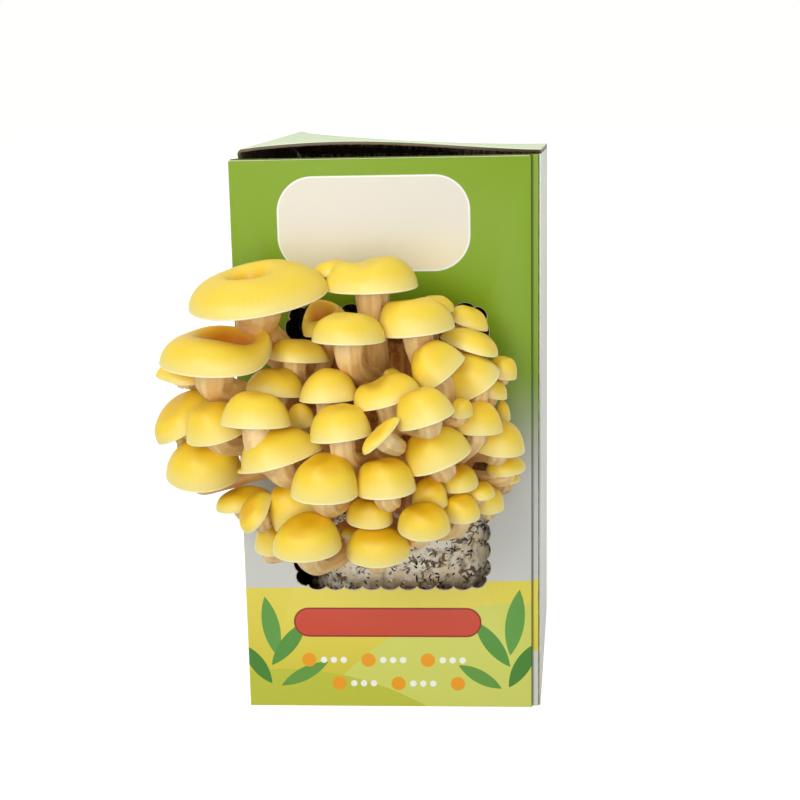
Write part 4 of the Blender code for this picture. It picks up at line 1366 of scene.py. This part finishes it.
        # A low rise paints the trunk with the stems' deep shade colour and keeps its ridges small.
        made[0][1][:, 3] *= self.trunk_rise
        lines = [self.best_route(shape, solid) for shape in self.members]
        lines += [self.route(bud, self.fork, self.bud_choice, self.steps) for bud in self.buds]
        for shape, line in zip(self.members + self.buds, lines):
            thick = shape.stem_radius()
            radii = []
            for number in range(len(line)):
                share = number / (len(line) - 1)
                taper = self.foot_share + self.waver * math.sin(self.waver_rate * share + shape.index)
                grown = (self.flare - self.foot_share) * share ** self.flare_power
                radii.append(thick * (taper + grown))
            line.append(line[-1] + shape.axis * self.sunk * thick)
            radii.append(radii[-1] * self.sunk_flare)
            made.append(self.tube(line, radii))
        return made

    def build(self, flesh: Material) -> Piece:
        """Return the clump grown together in one skin, ridged along its fibres.

        Args:
            flesh: The stems' finish.

        Returns:
            The clump's object.
        """
        tubes = self.tubes(tree_of(frame["nodes"][f"stems_{self.name}"].data))
        skins = [(points, ring_faces(self.sides, (len(points) - 2) // self.sides)) for points, _ in tubes]
        rough = mesh_of("rough_stems", *joined(skins))
        grown = self.fused(rough)
        self.mark(grown, rough, np.concatenate([marks for _, marks in tubes]))
        made = link(f"stems_{self.name}_flesh", grown, flesh)
        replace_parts(made, f"stems_{self.name}")
        return made

    def fused(self, rough: Mesh) -> Mesh:
        """Return overlapping tubes grown into one smooth skin."""
        holder = bpy.data.objects.new("rough_stems", rough)
        skin = holder.modifiers.new("skin", "REMESH")
        skin.mode = "VOXEL"
        skin.voxel_size = self.voxel
        soft = holder.modifiers.new("soft", "SMOOTH")
        soft.factor = self.softness
        soft.iterations = self.soft_steps
        return evaluated(holder)

    def mark(self, grown: Mesh, rough: Mesh, marks: Array) -> None:
        """Give the grown skin its fibre marks from the nearest tube, and its ridges.

        Args:
            grown: The grown skin.
            rough: The tubes.
            marks: The tubes' marks, one row for each point.
        """
        faces, tree = faces_of(rough), tree_of(rough)
        places = points_of(grown)
        found = [faces[tree.find_nearest(Vector(place))[2]] for place in places]
        values = np.array([marks[list(face)].mean(axis=0) for face in found])
        turn = np.arctan2(values[:, 1], values[:, 0])
        along, rise = values[:, 2], values[:, 3]
        ridges = sum(size * np.sin(count * turn + slope * along) for size, count, slope in self.ridges)
        ridges *= 1 + self.ridge_gain * smooth(rise, *self.ridge_gains)
        ridged = self.ridge * ridges * smooth(rise, *self.ridge_starts)
        raise_by(grown, ridged + self.lump * lumps(places, self.lump_scale))
        grown.shade_smooth()
        give(grown, "fibre", np.stack([np.cos(turn), np.sin(turn), along], axis=1))
        give(grown, "rise", rise)
        # Painted shade: the groove mark darkens the stems between their ridges.
        give(grown, "groove", smooth(-ridges, 0.0, 1.0))


class Cluster:
    """All of the mushrooms."""

    def build(self) -> None:
        """Build every cap and every clump of stems."""
        skin = CapSkin().make()
        flesh = StemFlesh().make()
        shapes = [CapShape(row, index) for index, row in enumerate(CAPS)]
        buds = []
        for number, row in enumerate(BUDS):
            bud = BudShape(row, len(CAPS) + number)
            for parent in (shape for shape in shapes if shape.name == row.parent):
                parent.lobes.append(bud)
            if not row.parent:
                bud.name = f"bud_{len(buds) + 1}"
                bud.build(skin)
                buds.append(bud)
        for shape in shapes:
            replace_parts(shape.build(skin), shape.name)
        for name, row in CLUMPS.items():
            members = [shape for shape in shapes if shape.row.clump == name]
            small = [bud for bud in buds if bud.row.clump == name]
            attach(Clump(name, row, members, small).build(flesh), "kit")


@dataclass
class GrowingBlock:
    """The block: a rounded square of straw, pitted, with chips of straw and husk on it."""

    edge: float = 9 * MM
    squareness: float = 3.6
    # Where the painted shade behind the cluster lies.
    gap_shade_x: float = -1 * MM
    gap_shade_z: float = 117 * MM
    gap_shade_width: float = 56 * MM
    gap_shade_rise: float = 48 * MM
    columns: int = 300
    rows: int = 150
    foot_share: float = 0.5
    end_shares: tuple[float, ...] = (0.85, 0.7, 0.55, 0.4, 0.25, 0.12)
    swell_scale: float = 90
    swell: float = 1.5 * MM
    clod_scale: float = 260
    clod: float = 0.9 * MM
    pit_scale: float = 430
    pit_edge: Pair = (0.16, 0.50)
    pit_mark: float = 0.6
    pit: float = 1.0 * MM
    sunk: float = 0.7 * MM
    patch_scale: float = 170
    husk_edge: Pair = (-0.25, 0.35)
    gap_shade_edge: Pair = (0.80, 1.05)
    chip_turns: Triple = (0.7, 0.7, TURN)
    least_chip: float = 0.45
    most_chip: float = 1.25
    chips: tuple[Chip, ...] = (
        Chip("husk_chips", srgb(64, 48, 30), 2.8 * MM, 0.75 * MM, 0.40 * MM, 200000, 3, "husky"),
        Chip("straw_chips", srgb(246, 238, 220), 2.6 * MM, 0.8 * MM, 0.40 * MM, 120000, 8, "bare"),
    )

    def ring(self, low: Vector, high: Vector, inset: float, z: float) -> Array:
        """Return one level outline of the block."""
        angle = round_angles(self.columns)
        half = (high - low) / 2
        middle = (high + low) / 2
        power = 2 / self.squareness
        cosine = np.sign(np.cos(angle)) * np.abs(np.cos(angle)) ** power
        sine = np.sign(np.sin(angle)) * np.abs(np.sin(angle)) ** power
        x = middle.x + (half.x - inset) * cosine
        y = middle.y + (half.y - inset) * sine
        return np.stack([x, y, np.full(self.columns, z)], axis=1)

    def build(self) -> None:
        """Build the block and its chips."""
        low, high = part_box("substrate_block")
        rings = []
        for number in range(self.rows + 1):
            z = low.z + (high.z - low.z) * (number / self.rows)
            from_end = min(z - low.z, high.z - z, self.edge)
            fall = self.edge - math.sqrt(max(0.0, self.edge ** 2 - (self.edge - from_end) ** 2))
            inset = fall if z > (low.z + high.z) / 2 else self.foot_share * fall
            rings.append(self.ring(low, high, inset, z))
        for share in self.end_shares:
            middles = [ring.mean(axis=0) for ring in (rings[0], rings[-1])]
            rings.insert(0, middles[0] + (rings[0] - middles[0]) * share)
            rings.append(middles[1] + (rings[-1] - middles[1]) * share)
        points = np.concatenate([[rings[0].mean(axis=0)], *rings, [rings[-1].mean(axis=0)]])
        mesh = mesh_of("growing_block", points, ring_faces(self.columns, len(rings)))
        self.roughen(mesh)
        block = link("growing_block", mesh, GrownStraw().make())
        for chip in self.chips:
            scattered = self.scatter(block, chip)
            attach(scattered, "kit")
        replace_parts(block, "substrate_block")
        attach(block, "kit")

    def roughen(self, mesh: Mesh) -> None:
        """Give the block its lumps and pits, and mark where it gets painted shade behind the cluster, where
        it is husky and where bare.
        """
        places = points_of(mesh)
        clods = lumps(places, self.clod_scale, (5, 0, 0))
        pits = smooth(lumps(places, self.pit_scale, (0, 9, 0)) + 0.5 * clods, *self.pit_edge)
        swells = lumps(places, self.swell_scale)
        places = raise_by(mesh, self.swell * swells + self.clod * clods - self.pit * pits - self.sunk)
        patch = lumps(places, self.patch_scale, (0, 0, 7))
        husky = smooth(patch + 0.4 * pits, *self.husk_edge)
        # Painted shade: an oval behind the cluster, where the gaps between the caps are dark.
        away = np.hypot((places[:, 0] - self.gap_shade_x) / self.gap_shade_width,
                        (places[:, 2] - self.gap_shade_z) / self.gap_shade_rise)
        gap_shade = (1 - smooth(away + 0.25 * patch, *self.gap_shade_edge)) * (places[:, 1] < 0)
        # Painted shade: the pit mark darkens the pits in the finish.
        give(mesh, "pit", self.pit_mark * pits)
        give(mesh, "gap_shade", gap_shade)
        give(mesh, "husky", husky * (1 - gap_shade))
        give(mesh, "bare", (1 - husky) * (1 - gap_shade))

    def scatter(self, block: Piece, chip: Chip) -> Piece:
        """Return chips spread over the block by Geometry Nodes, as one plain mesh.

        Args:
            block: The block.
            chip: The kind of chip.

        Returns:
            The chips' object.
        """
        group = bpy.data.node_groups.new(chip.name, "GeometryNodeTree")
        group.is_modifier = True
        face, tree = group.interface, Tree(group)
        face.new_socket("Geometry", in_out="INPUT", socket_type="NodeSocketGeometry")
        density = face.new_socket("Chips per square metre", in_out="INPUT", socket_type="NodeSocketFloat")
        seed = face.new_socket("Seed", in_out="INPUT", socket_type="NodeSocketInt")
        size = face.new_socket("Chip size", in_out="INPUT", socket_type="NodeSocketVector")
        face.new_socket("Geometry", in_out="OUTPUT", socket_type="NodeSocketGeometry")
        entry = tree.node("NodeGroupInput", {}).outputs
        where = tree.node("GeometryNodeInputNamedAttribute", {"Name": chip.where}).outputs[0]
        spread = tree.node("GeometryNodeDistributePointsOnFaces", {
            "Mesh": entry[0], "Density": tree.times(entry[1], where), "Seed": entry[2]}).outputs
        grain = tree.node("GeometryNodeMeshIcoSphere", {"Radius": 0.5, "Subdivisions": 1}).outputs["Mesh"]
        shaped = tree.node("GeometryNodeTransform", {"Geometry": grain, "Scale": entry[3]}).outputs[0]
        turn = tree.node("FunctionNodeRandomValue", {"Max": self.chip_turns}, data_type="FLOAT_VECTOR")
        scale = tree.node("FunctionNodeRandomValue", {2: self.least_chip, 3: self.most_chip},
                          data_type="FLOAT")
        lean = tree.node("FunctionNodeRotateEuler", {
            "Rotation": spread["Rotation"], "Rotate By": turn.outputs["Value"]},
            rotation_type="EULER", space="LOCAL").outputs[0]
        onto = tree.node("GeometryNodeInstanceOnPoints", {
            "Points": spread["Points"], "Instance": shaped, "Rotation": lean, "Scale": scale.outputs[1]})
        realized = tree.node("GeometryNodeRealizeInstances", {"Geometry": onto.outputs["Instances"]})
        dressed = tree.node("GeometryNodeSetMaterial", {
            "Geometry": realized.outputs["Geometry"], "Material": chip.make()})
        tree.node("NodeGroupOutput", {0: dressed.outputs["Geometry"]})
        holder = bpy.data.objects.new("chip_holder", block.data)
        step = holder.modifiers.new("chips", "NODES")
        step.node_group = group
        step[density.identifier] = float(chip.density)
        step[seed.identifier] = chip.seed
        step[size.identifier] = (chip.length, chip.width, chip.thickness)
        return link(chip.name, evaluated(holder))


@dataclass
class Carton:
    """The carton's body, its printed front layer and its lid."""

    rack: float = 7.5 * MM
    depth: float = 118 * MM
    width: float = 118 * MM
    height: float = 220 * MM
    board: float = 1.5 * MM
    print: Print = field(default_factory=Print)
    raw: Board = field(default_factory=Board)
    window_width: float = 78.5 * MM
    window_low: float = 49.5 * MM
    window_high: float = 164.5 * MM
    window_corner: float = 6 * MM
    window_corner_steps: int = 3
    bite_pitch: float = 7.2 * MM
    bite_depth: float = 1.6 * MM
    bite_fullness: float = 0.6
    bite_steps: int = 9
    edge_softness: float = 0.42 * MM
    lid_inset: float = 3 * MM
    lid_front_inset: float = 1.0 * MM
    lid_gap: float = 0.3 * MM
    lid_arch: float = 3.5 * MM
    lid_crest: float = 1.3
    lid_back_flatness: float = 0.85
    lid_lift: float = 5.0 * MM
    lid_lift_curve: float = 2.4
    lid_free_rise: float = 2.2 * MM
    lid_columns: int = 60
    lid_rows: int = 30
    bend_radius: float = 2.4 * MM
    bend_steps: int = 8
    bend_blend: float = 5 * MM
    tuck: float = 12 * MM
    tuck_inset: float = 9 * MM
    tuck_steps: int = 5
    sharp_angle: float = math.radians(40)
    corner_angle: float = math.radians(50)
    seam: float = 0.001 * MM
    rounding: float = 0.35 * MM
    outer_skin: Pair = (0.7 * MM, 0.4 * MM)
    front_skin: Pair = (0.35 * MM, 0.15 * MM)
    low_fade: float = 90 * MM
    high_fade: Pair = (120 * MM, 215 * MM)
    strip_foot: Pair = (23.6 * MM, 23.4 * MM)
    # Painted shade lines: where they lie and how dark they are.
    fold_line: Pair = (1.2 * MM, 0.6 * MM)
    gap_line: Pair = (1.0 * MM, 0.5 * MM)
    cut_line: Pair = (1.0 * MM, 0.6 * MM)
    line_strength: float = 0.75
    gloss: float = 0.28
    raw_rough: Colour = (0.85, 0.85, 0.85, 1)
    print_rough: Colour = (0.42, 0.42, 0.42, 1)

    def build(self) -> None:
        """Dress the body, and build the front layer and the lid."""
        self.dress_body()
        self.build_cover()
        self.build_lid()

    def dress_body(self) -> None:
        """Give the body its print, its pale sides, its raw inside and painted shade lines at its fold and
        beside the front layer.
        """
        shade = Shade("body_board")
        place = shade.place()
        x, y, z = shade.parts(place)
        half, front_y, cover_end = self.width / 2, -self.depth / 2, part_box("carton_cover")[1].x
        straight = shade.math("SUBTRACT", x, shade.times(y, self.rack / self.depth))
        reach = shade.math("MAXIMUM", shade.math("ABSOLUTE", straight), shade.math("ABSOLUTE", y))
        outside = shade.step(reach, *[half - depth for depth in self.outer_skin])
        front = shade.step(y, *[front_y + depth for depth in self.front_skin])
        side = shade.mix(shade.step(z, 0.0, self.low_fade), self.print.side_low, self.print.side)
        side = shade.mix(shade.step(z, *self.high_fade), side, self.print.side_high)
        strip = shade.mix(shade.step(z, *self.strip_foot), self.print.ground(shade, place), self.print.side)
        # Painted shade: dark lines at the fold to the side and in the gap beside the front layer's edge.
        fold = shade.step(straight, *[half - width for width in self.fold_line])
        gap = shade.step(x, *[cover_end + width for width in self.gap_line])
        line = shade.times(shade.math("MAXIMUM", fold, gap), self.line_strength)
        outer = shade.mix(front, side, shade.mix(line, strip, self.print.crease_shade, "MULTIPLY"))
        fibre = shade.noise(place, 260.0, 4.0, 0.6)
        outer = shade.veils(outer, (self.raw.raw, shade.step(fibre, 0.50, 0.75), 0.10))
        colour = shade.mix(outside, self.raw.raw_colour(shade, place), outer)
        wave = shade.noise(shade.stretched(place, (1, 1, 0.25)), 45.0, 2.0)
        shade.relief((wave, 0.10, 2 * MM), (fibre, 0.08, 0.4 * MM))
        rough = shade.mix(outside, self.raw_rough, self.print_rough)
        material = shade.finish(colour, rough, Specular_IOR_Level=self.gloss)
        frame["nodes"]["carton_body"].material_slots[0].material = material

    def window_edge(self) -> list[Pair]:
        """Return the window's outline, a row of half-round bites between inward cusps."""
        cover_low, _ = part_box("carton_cover")
        middle = cover_low.x + self.width / 2
        left, right = middle - self.window_width / 2, middle + self.window_width / 2
        left, right = left + self.bite_depth, right - self.bite_depth
        low, high = self.window_low + self.bite_depth, self.window_high - self.bite_depth
        base = []
        for x, z, start in ((right, high, 0), (left, high, 90), (left, low, 180), (right, low, 270)):
            inward_x = -1 if x == right else 1
            inward_z = -1 if z == high else 1
            for step in range(self.window_corner_steps + 1):
                angle = math.radians(start + 90 * step / self.window_corner_steps)
                base.append(Vector((x + self.window_corner * (inward_x + math.cos(angle)),
                                    z + self.window_corner * (inward_z + math.sin(angle)))))
        runs = list(zip(base, base[1:] + base[:1]))
        lengths = [0.0]
        for first, second in runs:
            lengths.append(lengths[-1] + (second - first).length)
        bites = round(lengths[-1] / self.bite_pitch)
        outline = []
        for count in range(bites * self.bite_steps):
            share = count % self.bite_steps / self.bite_steps
            travel = count / (bites * self.bite_steps) * lengths[-1]
            run = max(number for number in range(len(base)) if lengths[number] <= travel)
            along = (runs[run][1] - runs[run][0]).normalized()
            bulge = math.sin(math.pi * share) ** self.bite_fullness if share else 0.0
            outward = Vector((along.y, -along.x)) * self.bite_depth * bulge
            place = runs[run][0] + along * (travel - lengths[run]) + outward
            outline.append((place.x, place.y))
        return outline

    def build_cover(self) -> None:
        """Build the front layer, a board with softened edges and a scalloped window."""
        low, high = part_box("carton_cover")
        edge = [(low.x, low.z), (high.x, low.z), (high.x, high.z), (low.x, high.z)]
        flat = bpy.data.curves.new("front_layer", "CURVE")
        flat.dimensions = "2D"
        flat.fill_mode = "BOTH"
        flat.bevel_depth = self.edge_softness
        flat.bevel_resolution = 1
        flat.offset = -self.edge_softness
        flat.extrude = (high.y - low.y) / 2 - self.edge_softness
        for outline in (edge, self.window_edge()):
            line = flat.splines.new("POLY")
            line.points.add(len(outline) - 1)
            line.use_cyclic_u = True
            for point, (x, z) in zip(line.points, outline):
                point.co = (x, z, 0, 1)
        mesh = evaluated(bpy.data.objects.new("front_layer_line", flat))
        stand = Matrix.Translation((0, (low.y + high.y) / 2, 0)) @ Matrix.Rotation(math.pi / 2, 4, "X")
        mesh.transform(stand)
        work = bmesh.new()
        work.from_mesh(mesh)
        bmesh.ops.remove_doubles(work, verts=work.verts, dist=self.seam)
        bmesh.ops.recalc_face_normals(work, faces=work.faces)
        work.to_mesh(mesh)
        work.free()
        mesh.shade_smooth()
        mesh.set_sharp_from_angle(angle=self.corner_angle)
        cover = link("front_layer", mesh, self.cover_finish())
        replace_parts(cover, "carton_cover")
        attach(cover, "kit")

    def cover_finish(self) -> Material:
        """Return the front layer's finish: its print, its pale cut edges and painted shade on its right cut
        edge.
        """
        shade = Shade("front_print")
        texture = shade.node("ShaderNodeTexCoord", {})
        place = texture.outputs["Object"]
        facing = shade.parts(texture.outputs["Normal"])[1]
        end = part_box("carton_cover")[1].x
        art = self.print.artwork(shade, place)
        face = shade.step(shade.times(facing, -1.0), 0.75, 0.95)
        cut = shade.mix(shade.noise(place, 500.0, 2.0), self.print.cut, self.print.cut_dim)
        # Painted shade on the front layer's right cut edge.
        shaded = shade.mix(1.0, art, self.print.crease_shade, "MULTIPLY")
        right_end = shade.step(shade.parts(place)[0], *[end - width for width in self.cut_line])
        colour = shade.mix(face, shade.mix(right_end, cut, shaded), art)
        sheen = shade.noise(shade.stretched(place, (1, 1, 0.3)), 30.0, 2.0)
        shade.relief((sheen, 0.10, 2 * MM), (shade.noise(place, 900.0, 2.0), 0.05, 0.2 * MM))
        rough = shade.math("ADD", 0.38, shade.times(sheen, 0.14))
        return shade.finish(colour, rough, Specular_IOR_Level=self.gloss)

    def lid_height(self, share: float, depth: float) -> float:
        """Return how high the lid's underside stands over the walls.

        Args:
            share: From the fold, 0, to the free end, 1.
            depth: From the front, 0, to the back, 1.

        Returns:
            The height.
        """
        arch = self.lid_arch * math.sin(math.pi * share ** self.lid_crest)
        arch = max(arch, 0.0) * (1 - self.lid_back_flatness * depth)
        lift = self.lid_lift * depth * share ** self.lid_lift_curve
        return self.lid_gap + arch + lift + self.lid_free_rise * share ** 2

    def lid_strip(self, depth: float, layer: float) -> list[Triple]:
        """Return the places along one strip of the lid, from the fold round to the tuck's edge.

        Args:
            depth: From the front, 0, to the back, 1.
            layer: Height over the underside, 0, to the whole board's thickness.

        Returns:
            The places, X, Y and Z.
        """
        free = self.lid_inset - self.width / 2
        turn = free + self.bend_radius
        radius = self.bend_radius - self.board + layer
        end = self.lid_height(1.0, depth)
        middle = end + self.board - self.bend_radius
        strip = []
        for column in range(self.lid_columns + 1):
            x = self.width / 2 - column / self.lid_columns * (self.width / 2 - turn)
            share = (self.width / 2 - x) / (self.width / 2 - free)
            height = self.lid_height(share, depth)
            late = max(0.0, 1 - (x - turn) / self.bend_blend) ** 2
            strip.append((x, height + (end - height) * late + layer))
        for step in range(1, self.bend_steps + 1):
            angle = math.pi / 2 * step / self.bend_steps
            strip.append((turn - radius * math.sin(angle), middle + radius * math.cos(angle)))
        for step in range(1, self.tuck_steps + 1):
            fall = step / self.tuck_steps
            strip.append((turn - radius, middle + (end - self.tuck - middle) * fall))
        places = []
        for x, height in strip:
            fall = min(max((end - height) / self.tuck, 0.0), 1.0)
            inset = self.lid_front_inset + (self.tuck_inset - self.lid_front_inset) * fall
            y = -self.depth / 2 + inset + depth * (self.depth - 2 * inset)
            places.append((x + self.rack * y / self.depth, y, self.height + height))
        return places

    def build_lid(self) -> None:
        """Build the lid, one sheet bent round at its free end into a tuck."""
        rows, strips = self.lid_rows, self.lid_columns + self.bend_steps + self.tuck_steps
        points = []
        for layer in (0.0, self.board):
            for row in range(rows + 1):
                points += self.lid_strip(row / rows, layer)
        across = strips + 1
        sheet = (rows + 1) * across
        faces = []
        for row, column in product(range(rows), range(strips)):
            a = row * across + column
            b = a + across
            faces.append((a, b, b + 1, a + 1))
            faces.append((sheet + a, sheet + a + 1, sheet + b + 1, sheet + b))
        for a in range(strips):
            b = rows * across + a
            faces.append((a, a + 1, sheet + a + 1, sheet + a))
            faces.append((b + 1, b, sheet + b, sheet + b + 1))
        for a in range(0, rows * across, across):
            b = a + strips
            faces.append((a + across, a, sheet + a, sheet + a + across))
            faces.append((b, b + across, sheet + b + across, sheet + b))
        mesh = mesh_of("lid_board", np.array(points), faces)
        give(mesh, "outside", np.repeat((0.0, 1.0), sheet))
        mesh.set_sharp_from_angle(angle=self.sharp_angle)
        lid = link("lid_board", mesh, self.lid_finish())
        rounded = lid.modifiers.new("rounded", "BEVEL")
        rounded.width = self.rounding
        rounded.segments = 2
        rounded.limit_method = "ANGLE"
        rounded.angle_limit = self.corner_angle
        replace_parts(lid, "lid")
        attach(lid, "lid")

    def lid_finish(self) -> Material:
        """Return the lid's finish: pale green outside, raw board inside, brown cut edges."""
        shade = Shade("lid_board")
        place = shade.place()
        outside = shade.attribute("outside")
        pale = shade.mix(shade.noise(place, 80.0, 3.0), self.raw.pale, self.raw.pale_dim)
        layers = shade.noise(shade.stretched(place, (0.3, 0.3, 4.0)), 500.0, 2.0)
        cut = shade.mix(layers, self.raw.dark, self.raw.cut)
        colour = shade.mix(shade.step(outside, 0.74, 0.86), cut, pale)
        colour = shade.mix(shade.step(outside, 0.10, 0.02), colour, self.raw.raw_colour(shade, place))
        shade.relief((shade.noise(place, 500.0, 3.0), 0.12, 0.4 * MM))
        return shade.finish(colour, 0.5)


@dataclass
class Studio:
    """The pale floor, the soft lights and the camera."""

    floor_size: float = 60.0
    floor_grey: float = 0.9
    floor_rough: float = 0.8
    floor_glow: float = 0.70
    aim: float = 120 * MM
    falls: tuple[tuple[int, float, float, float], ...] = (
        (2, 0.16, 0.75, 0.95), (2, -0.02, -0.30, 0.70), (1, 0.55, -0.1, 0.38))
    room_colour: Colour = (1.0, 1.0, 0.99, 1.0)
    lights: tuple[tuple[str, Triple, float, float], ...] = (
        ("key", (-0.50, -1.20, 0.66), 0.5, 5.4),
        ("fill", (0.08, -1.25, 0.06), 0.8, 9.0),
        ("top", (-0.25, -0.35, 1.10), 0.6, 1.7))

    def build(self) -> None:
        """Build the floor, the lights and the camera."""
        EYE.camera()
        self.floor()
        self.room()
        for light in self.lights:
            self.softbox(*light)
        bpy.context.scene.view_settings.view_transform = "Standard"

    def room(self) -> None:
        world = bpy.data.worlds.new("studio")
        bpy.context.scene.world = world
        world.use_nodes = True
        tree = Tree(world.node_tree)
        directions = tree.parts(tree.node("ShaderNodeTexCoord", {}).outputs["Generated"])
        strength: Input = 1.0
        for axis, start, end, least in self.falls:
            strength = tree.times(strength, tree.step(directions[axis], start, end, 1.0, least))
        tree.feed(world.node_tree.nodes["Background"], {"Strength": strength, "Color": self.room_colour})

    def floor(self) -> None:
        """Build the floor."""
        half = self.floor_size / 2
        corners = [(-half, -half, 0), (half, -half, 0), (half, half, 0), (-half, half, 0)]
        mesh = bpy.data.meshes.new("floor")
        mesh.from_pydata(corners, [], [(0, 1, 2, 3)])
        grey = (self.floor_grey, self.floor_grey, self.floor_grey, 1.0)
        material = Shade("floor").finish(grey, self.floor_rough, Emission_Color=(1.0, 1.0, 1.0, 1.0),
                                         Emission_Strength=self.floor_glow)
        floor = link("floor", mesh, material)
        floor.visible_diffuse = False

    def softbox(self, name: str, place: Triple, size: float, power: float) -> None:
        data = bpy.data.lights.new(name, "AREA")
        data.size = size
        data.energy = power
        made = bpy.data.objects.new(name, data)
        made.location = place
        towards = Vector((0, 0, self.aim)) - Vector(place)
        made.rotation_euler = towards.to_track_quat("-Z", "Y").to_euler()
        bpy.context.scene.collection.objects.link(made)


def main() -> None:
    """Build the looks."""
    logging.basicConfig(level=logging.INFO, format="%(name)s: %(message)s")
    Studio().build()
    Carton().build()
    GrowingBlock().build()
    Cluster().build()


if __name__ == "__main__":
    main()
